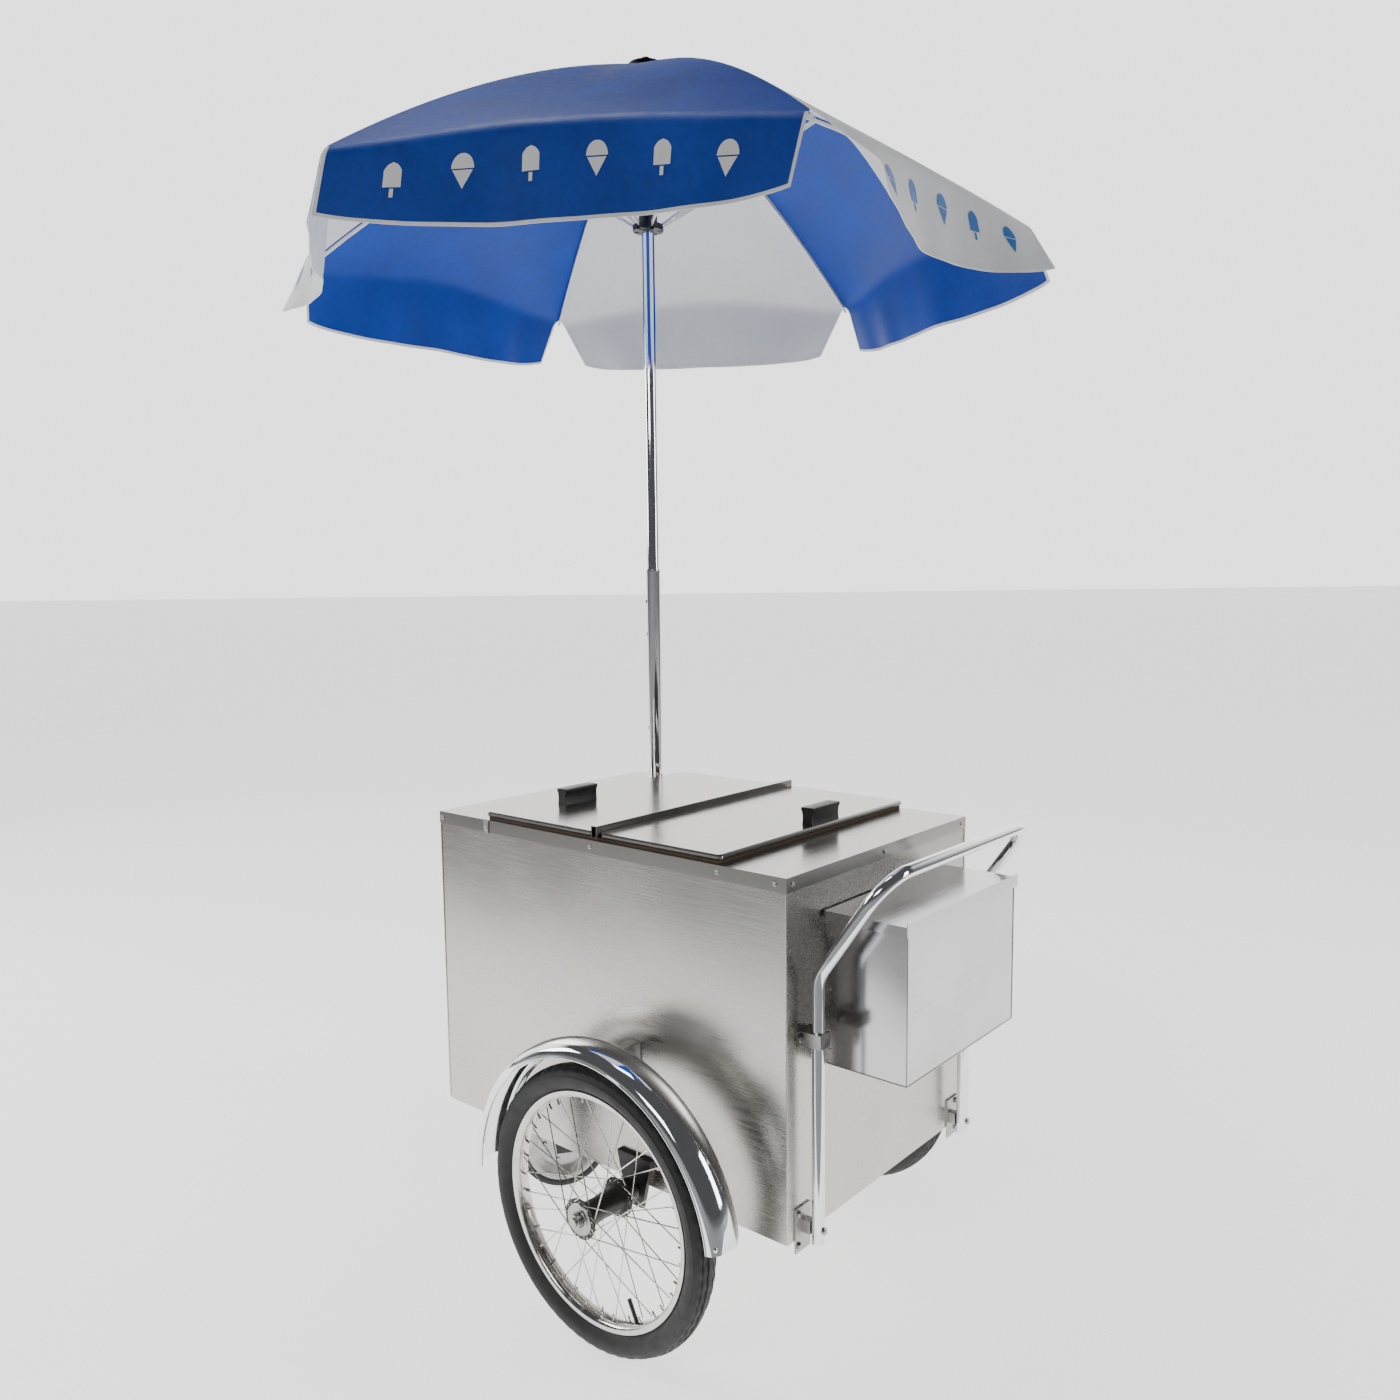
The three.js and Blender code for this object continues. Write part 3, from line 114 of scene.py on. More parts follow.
@dataclass(frozen=True)
class Finish:
    """One surface finish, made once as a node material.

    Args:
        name: the material's name.
        tone: its base colour.
        rough: its roughness at the middle of the variation.
        metal: 1 for bare metal, 0 for the rest.
        grain: the brushing direction.
        shade: how much the colour varies, from 0.
        scuff: how much the roughness varies, from 0.
        relief: the strength of the fine bump.
        cloud: the size of the broad patches, in noise cycles per metre.
        sheen: cloth sheen.
        coat: clear coat weight.
        weave: threads per metre of a cloth, or 0.
        gloss: the specular level; 0.5 is ordinary.
    """

    name: str
    tone: Colour
    rough: float
    metal: float = 0.0
    grain: Grain = Grain.NONE
    shade: float = 0.15
    scuff: float = 0.1
    relief: float = 0.05
    cloud: float = 5.0
    sheen: float = 0.0
    coat: float = 0.0
    weave: float = 0.0
    gloss: float = 0.5

    def material(self) -> bpy.types.Material:
        """The finish as a material, from the file if it was made before.

        Returns:
            The node material.
        """
        label = f"{self.name}_finish"
        known = bpy.data.materials.get(label)
        if known:
            return known
        made = bpy.data.materials.new(label)
        made.use_nodes = True
        tree = made.node_tree
        shader = tree.nodes["Principled BSDF"]
        shader.inputs["Metallic"].default_value = self.metal
        shader.inputs["Sheen Weight"].default_value = self.sheen
        shader.inputs["Specular IOR Level"].default_value = self.gloss
        shader.inputs["Coat Weight"].default_value = self.coat
        place = tree.nodes.new("ShaderNodeTexCoord").outputs["Object"]
        fine = self._noise(tree, place, self.grain.value, 1.0, 4.0)
        tall = 0.3 if self.grain is Grain.UPRIGHT else 1.0
        broad = self._noise(tree, place, (self.cloud, self.cloud, self.cloud * tall), 1.0, 2.0)
        self._link_colour(tree, shader, fine, broad)
        self._link_roughness(tree, shader, fine, broad)
        self._link_bump(tree, shader, place, fine)
        return made

    def _noise(
        self,
        tree: Tree,
        place: Socket,
        scales: Sequence[float],
        scale: float,
        detail: float,
    ) -> Socket:
        """A noise field stretched by the scales.

        Returns:
            The noise's value socket.
        """
        mapping = tree.nodes.new("ShaderNodeMapping")
        mapping.inputs["Scale"].default_value = scales
        noise = tree.nodes.new("ShaderNodeTexNoise")
        noise.inputs["Scale"].default_value = scale
        noise.inputs["Detail"].default_value = detail
        tree.links.new(place, mapping.inputs["Vector"])
        tree.links.new(mapping.outputs["Vector"], noise.inputs["Vector"])
        return noise.outputs["Fac"]

    def _span(
        self,
        tree: Tree,
        value: Socket,
        low: float,
        high: float,
    ) -> Socket:
        """The value spread from low to high.

        Returns:
            The mapped value socket.
        """
        span = tree.nodes.new("ShaderNodeMapRange")
        span.inputs["From Min"].default_value = NOISE_LOW
        span.inputs["From Max"].default_value = NOISE_HIGH
        span.inputs["To Min"].default_value = low
        span.inputs["To Max"].default_value = high
        tree.links.new(value, span.inputs["Value"])
        return span.outputs["Result"]

    def _link_colour(
        self,
        tree: Tree,
        shader: bpy.types.Node,
        fine: Socket,
        broad: Socket,
    ) -> None:
        """Varies the base colour with the grain and the broad patches."""
        blend = tree.nodes.new("ShaderNodeMath")
        blend.operation = "ADD"
        tree.links.new(self._span(tree, fine, 0.0, 0.4), blend.inputs[0])
        tree.links.new(self._span(tree, broad, 0.0, 0.6), blend.inputs[1])
        mix = tree.nodes.new("ShaderNodeMix")
        mix.data_type = "RGBA"
        dark = tuple(channel * (1.0 - self.shade) for channel in self.tone)
        light = tuple(min(channel * (1.0 + self.shade), 1.0) for channel in self.tone)
        mix.inputs["A"].default_value = (*dark, 1.0)
        mix.inputs["B"].default_value = (*light, 1.0)
        tree.links.new(blend.outputs[0], mix.inputs["Factor"])
        tree.links.new(mix.outputs["Result"], shader.inputs["Base Color"])

    def _link_roughness(
        self,
        tree: Tree,
        shader: bpy.types.Node,
        fine: Socket,
        broad: Socket,
    ) -> None:
        """Varies the roughness with wear and brushing."""
        blend = tree.nodes.new("ShaderNodeMath")
        blend.operation = "ADD"
        low = max(self.rough - self.scuff, 0.02)
        tree.links.new(self._span(tree, broad, low, self.rough), blend.inputs[0])
        tree.links.new(self._span(tree, fine, 0.0, self.scuff), blend.inputs[1])
        tree.links.new(blend.outputs[0], shader.inputs["Roughness"])

    def _link_bump(
        self,
        tree: Tree,
        shader: bpy.types.Node,
        place: Socket,
        fine: Socket,
    ) -> None:
        """Adds the fine relief: brushing, moulding grain or threads."""
        height = fine
        if self.weave:
            weave = self._noise(tree, place, (self.weave,) * 3, 1.0, 1.0)
            joint = tree.nodes.new("ShaderNodeMath")
            joint.operation = "ADD"
            tree.links.new(fine, joint.inputs[0])
            tree.links.new(weave, joint.inputs[1])
            height = joint.outputs[0]
        bump = tree.nodes.new("ShaderNodeBump")
        bump.inputs["Strength"].default_value = self.relief
        bump.inputs["Distance"].default_value = BUMP_DEPTH
        tree.links.new(height, bump.inputs["Height"])
        tree.links.new(bump.outputs["Normal"], shader.inputs["Normal"])


STEEL_TONE: Colour = (0.56, 0.53, 0.49)
SIDE_STEEL = Finish("side_steel", STEEL_TONE, 0.27, 1.0, Grain.ALONG_X, 0.13, 0.07, 0.02, 3.4)
DECK_STEEL = Finish("deck_steel", (0.47, 0.45, 0.42), 0.22, 1.0, Grain.ALONG_Y, 0.1, 0.06, 0.02, 3.0)
LID_STEEL = Finish("lid_steel", (0.45, 0.43, 0.405), 0.2, 1.0, Grain.ALONG_Y, 0.1, 0.06, 0.02, 3.0)
LINER_STEEL = Finish("liner_steel", (0.62, 0.61, 0.6), 0.3, 1.0, Grain.UPRIGHT, 0.1, 0.1, 0.04, 4.0)
GALVANISED = Finish("galvanised_sheet", (0.56, 0.56, 0.565), 0.17, 1.0, Grain.ALONG_Y, 0.12, 0.06,
                    0.015, 7.0)
CHROME = Finish("chrome", (0.83, 0.84, 0.86), 0.07, 1.0, Grain.NONE, 0.04, 0.04, 0.01, 8.0)
RIM_STEEL = Finish("rim_steel", (0.62, 0.61, 0.59), 0.2, 1.0, Grain.NONE, 0.2, 0.12, 0.05, 30.0)
ZINC = Finish("zinc_plate", (0.42, 0.42, 0.40), 0.36, 1.0, Grain.NONE, 0.25, 0.14, 0.08, 40.0)
BLACK_STEEL = Finish("black_steel", (0.012, 0.012, 0.012), 0.42, 0.0, Grain.NONE, 0.3, 0.14, 0.12, 30.0)
BLACK_PLASTIC = Finish("black_plastic", (0.012, 0.012, 0.013), 0.38, 0.0, Grain.NONE, 0.25, 0.08, 0.1, 60.0)
BLUE_PLASTIC = Finish("blue_plastic", (0.01, 0.06, 0.3), 0.35, 0.0, Grain.NONE, 0.2, 0.08, 0.1, 60.0)
TYRE_RUBBER = Finish("tyre_rubber", (0.016, 0.016, 0.016), 0.62, 0.0, Grain.NONE, 0.35, 0.14, 0.25, 40.0)
# The gasket's colour is painted shade: the rubber's own tan is darkened to stand for the shadow in the gap
# under the lids.
GASKET_PAINTED_SHADE = Finish("gasket_rubber", (0.085, 0.058, 0.034), 0.7, 0.0, Grain.NONE, 0.25, 0.1, 0.2, 40.0)
FOAM = Finish("foam", (0.75, 0.66, 0.42), 0.85, 0.0, Grain.NONE, 0.2, 0.1, 0.6, 60.0)
ENAMEL = Finish("white_enamel", (0.78, 0.78, 0.76), 0.3, 0.0, Grain.NONE, 0.06, 0.08, 0.04, 20.0)
TAPE = Finish("white_binding", (0.84, 0.84, 0.83), 0.75, 0.0, Grain.NONE, 0.05, 0.06, 0.5, 30.0,
              sheen=0.3, weave=900.0)
BLUE_CLOTH = Finish("blue_cloth", (0.003, 0.05, 0.37), 0.42, 0.0, Grain.NONE, 0.22, 0.1, 0.3, 7.0,
                    weave=1400.0, gloss=0.22)
WHITE_CLOTH = Finish("white_cloth", (0.8, 0.81, 0.83), 0.45, 0.0, Grain.NONE, 0.04, 0.1, 0.3, 7.0,
                     weave=1400.0, gloss=0.3)
BLUE_PRINT = Finish("blue_print", (0.01, 0.16, 0.55), 0.5, 0.0, Grain.NONE, 0.08, 0.08, 0.15, 20.0)
WHITE_PRINT = Finish("white_print", (0.82, 0.82, 0.82), 0.5, 0.0, Grain.NONE, 0.03, 0.08, 0.15, 20.0)


# ------------------------------------------------------------------ mesh tools


def build(name: str, verts: Iterable[Sequence[float]], faces: Iterable[Sequence[int]], finish: Finish,
          smooth: bool = True) -> Piece:
    """Makes one mesh piece.

    Args:
        name: the piece's name.
        verts: its points.
        faces: its faces as point numbers.
        finish: its finish.
        smooth: shades it smooth where its faces meet at less than SMOOTH_BELOW_DEGREES.

    Returns:
        The new object, linked to the scene.
    """
    mesh = bpy.data.meshes.new(name)
    mesh.from_pydata([tuple(v) for v in verts], [], [tuple(f) for f in faces])
    mesh.validate()
    work = bmesh.new()
    work.from_mesh(mesh)
    bmesh.ops.remove_doubles(work, verts=work.verts, dist=MERGE_DISTANCE)
    bmesh.ops.recalc_face_normals(work, faces=work.faces)
    work.to_mesh(mesh)
    work.free()
    mesh.materials.append(finish.material())
    made = bpy.data.objects.new(name, mesh)
    bpy.context.scene.collection.objects.link(made)
    if smooth:
        mesh.shade_smooth()
        mesh.set_sharp_from_angle(angle=math.radians(SMOOTH_BELOW_DEGREES))
    return made


def lathe(name: str, profile: Sequence[tuple[float, float]], centre: Vector, turn: Matrix, finish: Finish,
          steps: int = 96, start: float = 0.0, sweep: float = FULL_TURN,
          warp: Callable[[int, int, float], float] | None = None) -> Piece:
    """Turns a closed profile of (radius, height) points about an axis.

    Args:
        name: the piece's name.
        profile: the closed outline, without its first point repeated.
        centre: the middle of the turned piece.
        turn: the rotation from the local axis, which is +Z, to the real one.
        finish: its finish.
        steps: how many steps go round.
        start: the first angle.
        sweep: how far it turns; a part turn gets end faces.
        warp: gives the radius at (step, point, radius).

    Returns:
        The new piece.
    """
    closed = abs(sweep - FULL_TURN) < 1e-6
    rings = steps if closed else steps + 1
    verts: list[Vector] = []
    for i in range(rings):
        angle = start + sweep * i / steps
        for j, (radius, height) in enumerate(profile):
            reach = warp(i, j, radius) if warp else radius
            point = Vector((reach * math.cos(angle), reach * math.sin(angle), height))
            verts.append(centre + turn @ point)
    count = len(profile)
    faces: list[list[int]] = []
    for i in range(steps):
        after = (i + 1) % rings
        for j in range(count):
            k = (j + 1) % count
            faces.append([i * count + j, after * count + j, after * count + k, i * count + k])
    if not closed:
        faces.append(list(range(count)))
        faces.append(list(range(steps * count, (steps + 1) * count)))
    return build(name, verts, faces, finish)


def disc_lathe(name: str, profile: Sequence[tuple[float, float]], centre: Vector, turn: Matrix,
               finish: Finish, steps: int = 48) -> Piece:
    """Turns an open profile whose ends are on the axis, such as a knob or a bolt head.

    Returns:
        The new piece.
    """
    tiny = 1e-7
    points = [(max(radius, tiny), height) for radius, height in profile]
    return lathe(name, points, centre, turn, finish, steps)


def tube(name: str, path: Sequence[Vector], radius: float, finish: Finish,
         sides: int = 20) -> Piece:
    """A round bar along a path, with closed ends.

    Returns:
        The new piece.
    """
    verts: list[Vector] = []
    side = (path[1] - path[0]).orthogonal().normalized()
    for i, point in enumerate(path):
        ahead = (path[min(i + 1, len(path) - 1)] - path[max(i - 1, 0)]).normalized()
        side = (side - ahead * side.dot(ahead)).normalized()
        other = ahead.cross(side)
        for j in range(sides):
            angle = FULL_TURN * j / sides
            verts.append(point + radius * (math.cos(angle) * side + math.sin(angle) * other))
    faces = [list(range(sides))]
    for i in range(len(path) - 1):
        for j in range(sides):
            k = (j + 1) % sides
            faces.append([i * sides + j, i * sides + k, (i + 1) * sides + k, (i + 1) * sides + j])
    faces.append(list(range((len(path) - 1) * sides, len(path) * sides)))
    return build(name, verts, faces, finish)


def joined(name: str, parts: Sequence[Piece]) -> Piece:
    """Joins several pieces of one finish into one named piece.

    Returns:
        The joined piece.
    """
    bpy.ops.object.select_all(action="DESELECT")
    for part in parts:
        part.select_set(True)
    bpy.context.view_layer.objects.active = parts[0]
    bpy.ops.object.join()
    parts[0].name = name
    return parts[0]


def dress(finish: Finish, *nodes: str) -> None:
    """Gives carried CAD nodes a finish."""
    for node in nodes:
        held = frame["nodes"][node]
        held.data.materials.clear()
        held.data.materials.append(finish.material())


def settle(piece: Piece, body: str, slot: str, *nodes: str) -> None:
    """Rides a piece on its body and lets it stand for CAD nodes."""
    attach(piece, body)
    if nodes:
        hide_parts(*nodes)
    LOG.info("%s rides on %s", piece.name, body)


FACING_Y = Matrix.Rotation(math.radians(-90), 3, "X")
UPRIGHT_AXIS = Matrix.Identity(3)
FACING_X = Matrix.Rotation(math.radians(90), 3, "Y")


# ------------------------------------------------------------------ cabinet


@dataclass
class Cabinet:
    """The insulated tub with its deck, lids, underframe and fasteners."""

    screw_radius: float = 0.0042
    screw_height: float = 0.0022
    side_screws: tuple[float, ...] = (0.0095, 0.44, 0.741, 0.86)
    end_screws: tuple[float, ...] = (0.016, 0.295, 0.583)
    screw_below_top: float = 0.0125
    seam_width: float = 0.0016
    catch_from_front: float = 0.1495
    catch_thickness: float = 0.0016

    def dress_nodes(self) -> None:
        """Gives the carried sheet metal, rails and seals their finishes."""
        dress(SIDE_STEEL, "cabinet_shell")
        dress(DECK_STEEL, "top_deck")
        dress(LID_STEEL, "lid_front", "lid_rear", "centre_bar")
        dress(LINER_STEEL, "inner_liner")
        dress(FOAM, "insulation")
        # The lid gasket carries a painted shade of the gap under the lids.
        dress(GASKET_PAINTED_SHADE, "lid_gasket")
        dress(BLACK_STEEL, "frame_rail_near", "frame_rail_far", "caster_plate", "caster_fork")
        dress(BLACK_STEEL, "axle_bracket_near", "axle_bracket_far")
        dress(ZINC, "mast_socket", "axle")
        for side in Side:
            dress(ZINC, f"foot_bracket_{side.label}", f"mudguard_stay_{side.label}")
            dress(ZINC, f"handle_clamp_{side.label}")

    def screw(self, name: str, place: Vector, turn: Matrix, radius: float) -> Piece:
        """A domed screw head with a slot ring.

        Returns:
            The screw head.
        """
        height = self.screw_height
        profile = [
            (0.0, 0.0),
            (radius, 0.0),
            (radius, height * 0.35),
            (radius * 0.72, height * 0.85),
            (radius * 0.42, height),
            (radius * 0.36, height * 0.7),
            (0.0, height * 0.7),
        ]
        return disc_lathe(name, profile, place, turn, ZINC, 20)

    def fasteners(self) -> None:
        """The deck's screws along its skirt, on the long sides and the two ends."""
        low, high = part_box("top_deck")
        height = high[2] - self.screw_below_top
        heads: list[Piece] = []
        for side in Side:
            face = low[1] if side is Side.NEAR else high[1]
            turn = Matrix.Rotation(math.radians(90 * -side.sign), 3, "X")
            for offset in self.side_screws:
                place = Vector((low[0] + offset, face, height))
                heads.append(self.screw("screw", place, turn, self.screw_radius))
        for end, sign in ((low[0], -1), (high[0], 1)):
            turn = Matrix.Rotation(math.radians(90 * sign), 3, "Y")
            for offset in self.end_screws:
                place = Vector((end, low[1] + offset, height))
                heads.append(self.screw("screw", place, turn, self.screw_radius))
        settle(joined("deck_screws", heads), "cart", "zinc_plate")

    def seams(self) -> None:
        """The folded seams that stand on the cabinet's upright corners."""
        low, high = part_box("cabinet_shell")
        deck_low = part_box("top_deck")[0][2]
        strips: list[Piece] = []
        width = self.seam_width
        for x in (low[0], high[0]):
            for y in (low[1], high[1]):
                path = [Vector((x, y, low[2] + 0.004)), Vector((x, y, deck_low - 0.001))]
                strips.append(tube("seam", path, width, SIDE_STEEL, 12))
        settle(joined("corner_seams", strips), "cart", "stainless")

    def hook(self) -> None:
        """The small pressed catch on the near side, below the lid's front corner."""
        low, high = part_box("top_deck")
        x = low[0] + self.catch_from_front
        top = high[2] + 0.0012
        y = low[1]
        plate = [
            (x - 0.006, y - 0.0002, top - 0.028),
            (x + 0.006, y - 0.0002, top - 0.028),
            (x + 0.0075, y - 0.0002, top),
            (x - 0.0075, y - 0.0002, top),
        ]
        verts = plate + [(px, py - self.catch_thickness, pz) for px, py, pz in plate]
        faces = [(0, 1, 2, 3), (4, 7, 6, 5), (0, 4, 5, 1), (1, 5, 6, 2), (2, 6, 7, 3), (3, 7, 4, 0)]
        tab = build("tab", verts, faces, ZINC, smooth=False)
        knob = self.screw("knob", Vector((x, y - 0.0017, top - 0.018)),
                          Matrix.Rotation(math.radians(90), 3, "X"), self.screw_radius)
        settle(joined("lid_catch", [tab, knob]), "cart", "zinc_plate")

    def grip(self, node: str, body: str) -> None:
        """A moulded grip with hollow sides and a flared top, in place of the plain one."""
        low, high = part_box(node)
        centre = middle(node)
        half = (high[0] - low[0]) / 2
        tall = high[2] - low[2]
        outline = [
            (half * 0.84, 0.0),
            (half * 0.80, tall * 0.08),
            (half * 0.74, tall * 0.2),
            (half * 0.72, tall * 0.38),
            (half * 0.74, tall * 0.56),
            (half * 0.84, tall * 0.74),
            (half * 0.98, tall * 0.86),
            (half, tall * 0.91),
            (half * 0.97, tall * 0.98),
            (half * 0.88, tall),
        ]
        section = outline + [(-x, z) for x, z in reversed(outline)]
        length = high[1] - low[1]
        stations = [(-0.5, 0.94), (-0.492, 0.985), (-0.47, 1.0), (0.47, 1.0), (0.492, 0.985), (0.5, 0.94)]
        verts = [
            (centre.x + x * scale, centre.y + length * along, low[2] + z)
            for along, scale in stations
            for x, z in section
        ]
        count = len(section)
        faces: list[list[int]] = [list(range(count))]
        for i in range(len(stations) - 1):
            for j in range(count):
                k = (j + 1) % count
                faces.append([i * count + j, i * count + k, (i + 1) * count + k, (i + 1) * count + j])
        faces.append(list(range((len(stations) - 1) * count, len(stations) * count)))
        made = build(f"{node}_moulded", verts, faces, BLACK_PLASTIC)
        settle(made, body, "black_plastic", node)

    def make(self) -> None:
        """Builds and dresses the cabinet."""
        self.dress_nodes()
        self.fasteners()
        self.seams()
        self.hook()
        self.grip("lid_handle_front", "front_lid")
        self.grip("lid_handle_rear", "rear_lid")


# ------------------------------------------------------------------ wheels and mudguards


@dataclass
class Wheel:
    """One spoked wheel with its tyre, rim, hub and mudguard."""

    side: Side
    steps: int = 180
    spokes: int = 36
    spoke_radius: float = 0.0011
    flange_radius: float = 0.036
    flange_offset: float = 0.046
    rim_radius: float = 0.213
    rim_half: float = 0.0165
    rim_depth: float = 0.014
    barrel_radius: float = 0.0225
    lug_depth: float = 0.0022
    nipple_radius: float = 0.0021
    valve_azimuth: float = -64
    cross_angle: float = 60
    guard_fall: float = 0.0236
    guard_sheet: float = 0.0014
    guard_sweep: float = 173
    guard_bead: float = 0.0024
    tail_azimuth: float = 9
    centre: Vector = field(init=False)
    body: str = field(init=False)

    def __post_init__(self) -> None:
        """Takes the wheel's place from its tyre."""
        self.centre = middle(f"tyre_{self.side.label}")
        self.body = f"{self.side.label}_wheel"

    def tyre(self) -> None:
        """The tyre with two grooves round its crown and blocks on its shoulders."""
        low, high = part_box(f"tyre_{self.side.label}")
        outer = (high[2] - low[2]) / 2
        half = (high[1] - low[1]) / 2
        bead = self.rim_radius + 0.0012
        seat = self.rim_radius - self.rim_depth + 0.006
        wall = [
            (seat, half * 0.5),
            (bead, half * 0.52),
            (bead + 0.004, half * 0.70),
            (bead + 0.009, half * 0.88),
            (bead + 0.016, half * 0.985),
            (bead + 0.022, half),
            (bead + 0.026, half * 0.99),
            (bead + 0.0265, half * 0.955),
            (bead + 0.031, half * 0.9),
            (outer - 0.0085, half * 0.8),
            (outer - 0.0072, half * 0.79),
            (outer - 0.0048, half * 0.64),
            (outer - 0.0065, half * 0.6),
            (outer - 0.0065, half * 0.54),
            (outer - 0.0032, half * 0.5),
            (outer - 0.0012, half * 0.3),
            (outer - 0.0034, half * 0.26),
            (outer - 0.0034, half * 0.2),
            (outer, half * 0.16),
        ]
        profile = [(r, -y) for r, y in wall] + list(reversed(wall))
        lugs = {10, 11, 14, 15}
        count = len(profile)

        def tread(step: int, point: int, radius: float) -> float:
            """Sinks every third step of the shoulder's points."""
            place = min(point, count - 1 - point)
            return radius - self.lug_depth if place in lugs and step % 3 == 0 else radius

        made = lathe(f"tyre_{self.side.label}_treaded", profile, self.centre, FACING_Y, TYRE_RUBBER,
                     self.steps, warp=tread)
        settle(made, self.body, "tyre_rubber", f"tyre_{self.side.label}")

    def rim(self) -> None:
        """The rolled rim with its nipples and valve."""
        half = self.rim_half
        bed = self.rim_radius - self.rim_depth
        profile = [
            (bed + 0.0022, half - 0.004),
            (self.rim_radius - 0.003, half - 0.0025),
            (self.rim_radius - 0.0006, half - 0.0028),
            (self.rim_radius, half - 0.0012),
            (self.rim_radius - 0.0008, half),
            (self.rim_radius - 0.003, half),
            (bed + 0.006, half - 0.0006),
            (bed + 0.002, half - 0.004),
            (bed, half - 0.009),
            (bed - 0.0006, 0.0),
        ]
        outline = profile + [(r, -y) for r, y in reversed(profile[:-1])]
        parts = [lathe("rim", outline, self.centre, FACING_Y, RIM_STEEL, 120)]
        for i in range(self.spokes):
            angle = FULL_TURN * i / self.spokes
            outward = Vector((math.cos(angle), 0.0, math.sin(angle)))
            offset = Vector((0.0, 0.003 * (1 if i % 2 else -1), 0.0))
            start = self.centre + offset + outward * (bed - 0.011)
            end = self.centre + offset + outward * (bed + 0.001)
            shank = [start, start.lerp(end, 0.7), end]
            parts.append(tube("nipple", shank, self.nipple_radius, RIM_STEEL, 8))
        settle(joined(f"rim_{self.side.label}_rolled", parts), self.body, "chrome",
               f"rim_{self.side.label}")
        angle = math.radians(self.valve_azimuth)
        outward = Vector((math.cos(angle), 0.0, math.sin(angle)))
        start = self.centre + outward * (bed - 0.001)
        valve = tube(f"valve_{self.side.label}", [start, start - outward * 0.03, start - outward * 0.04],
                     0.0038, BLACK_STEEL, 12)
        settle(valve, self.body, "black_steel")

    def hub(self) -> None:
        """The black hub barrel with its two drilled flanges and a grey dust cap."""
        inward = -self.side.sign
        bore = 0.0086
        outer = -self.flange_offset - 0.0016
        inner = 0.08
        radius = self.barrel_radius
        flange = self.flange_radius
        other = self.flange_offset
        profile = [
            (bore, outer),
            (flange - 0.001, outer),
            (flange, outer + 0.0008),
            (flange, outer + 0.0028),
            (flange - 0.002, outer + 0.0036),
            (radius + 0.004, outer + 0.005),
            (radius, outer + 0.01),
            (radius * 0.9, 0.0),
            (radius, other - 0.01),
            (radius + 0.004, other - 0.003),
            (flange - 0.002, other - 0.0018),
            (flange, other - 0.001),
            (flange, other + 0.001),
            (flange - 0.002, other + 0.0018),
            (radius + 0.002, other + 0.003),
            (radius, inner - 0.002),
            (radius - 0.002, inner),
            (bore, inner),
        ]
        turn = FACING_Y if inward > 0 else Matrix.Rotation(math.radians(90), 3, "X")
        hub = lathe(f"hub_{self.side.label}_barrel", profile, self.centre, turn, BLACK_STEEL, 64)
        settle(hub, self.body, "black_steel", f"hub_and_spokes_{self.side.label}")
        cap = [
            (0.0135, outer - 0.0002),
            (0.0282, outer - 0.0002),
            (0.0285, outer - 0.0012),
            (0.0272, outer - 0.0026),
            (0.0235, outer - 0.003),
            (0.022, outer - 0.0024),
            (0.0175, outer - 0.0024),
            (0.0165, outer - 0.0032),
            (0.0135, outer - 0.0032),
        ]
        washer = lathe(f"dust_cap_{self.side.label}", cap, self.centre, turn, ZINC, 48)
        settle(washer, self.body, "zinc_plate")

    def spoke_set(self) -> None:
        """The crossed spokes, each with its head outside or inside its flange."""
        parts: list[Piece] = []
        per_flange = self.spokes // 2
        reach = self.rim_radius - self.rim_depth - 0.004
        for i in range(self.spokes):
            flange = i % 2
            index = i // 2
            lean = -1 if index % 2 else 1
            hub_angle = (index + flange / 2) * 2 * math.pi / per_flange
            rim_angle = hub_angle + lean * math.radians(self.cross_angle)
            side = (1 if flange else -1) * self.side.sign
            root = self.flange_radius - 0.005
            start = self.centre + Vector((
                root * math.cos(hub_angle),
                side * self.flange_offset + lean * 0.0026,
                root * math.sin(hub_angle),
            ))
            end = self.centre + Vector((
                reach * math.cos(rim_angle),
                side * 0.003 + lean * 0.0012,
                reach * math.sin(rim_angle),
            ))
            through = start - Vector((0.0, lean * 0.0052, 0.0))
            parts.append(tube("spoke", [through, start, end], self.spoke_radius, RIM_STEEL, 8))
        settle(joined(f"spokes_{self.side.label}", parts), self.body, "zinc_plate",
               f"hub_and_spokes_{self.side.label}")

    def mudguard(self) -> None:
        """The chromed mudguard with rolled edges, a rounded tail and its rear bolt."""
        node = f"mudguard_{self.side.label}"
        low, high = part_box(node)
        half = (high[1] - low[1]) / 2
        crown = high[2] - self.centre.z
        edge = crown - self.guard_fall
        outer: list[tuple[float, float]] = []
        inner: list[tuple[float, float]] = []
        count = 14
        for i in range(count + 1):
            angle = (i / count * 2 - 1) * math.pi / 2
            y = (half - 0.0015) * math.sin(angle)
            rise = (crown - edge) * math.cos(angle) ** 0.8 if abs(angle) < 1.57 else 0.0
            outer.append((edge + rise, y))
            inner.append((edge + rise - self.guard_sheet, y * 0.965))
        profile = outer + list(reversed(inner))
        parts = [lathe(node, profile, self.centre, FACING_Y, CHROME, 96, math.radians(180),
                       math.radians(self.guard_sweep))]
        bead_steps = 72
        for y in (-half + 0.0028, half - 0.0028):
            bead = [
                self.centre + Vector((
                    (edge - 0.001) * math.cos(math.radians(180 - self.guard_sweep * i / bead_steps)),
                    y,
                    (edge - 0.001) * math.sin(math.radians(180 - self.guard_sweep * i / bead_steps)),
                ))
                for i in range(bead_steps + 1)
            ]
            parts.append(tube("bead", bead, self.guard_bead, CHROME, 10))
        tail = math.radians(self.tail_azimuth)
        outward = Vector((math.cos(tail), 0.0, math.sin(tail)))
        place = self.centre + outward * (edge + 0.013) + Vector((0.0, self.side.sign * half * 0.72, 0.0))
        head = [(0.0, -0.006), (0.005, -0.006), (0.005, 0.002), (0.003, 0.0034), (0.0, 0.0036)]
        turn = outward.to_track_quat("Z", "Y").to_matrix()
        parts.append(disc_lathe("tail_bolt", head, place, turn, CHROME, 20))
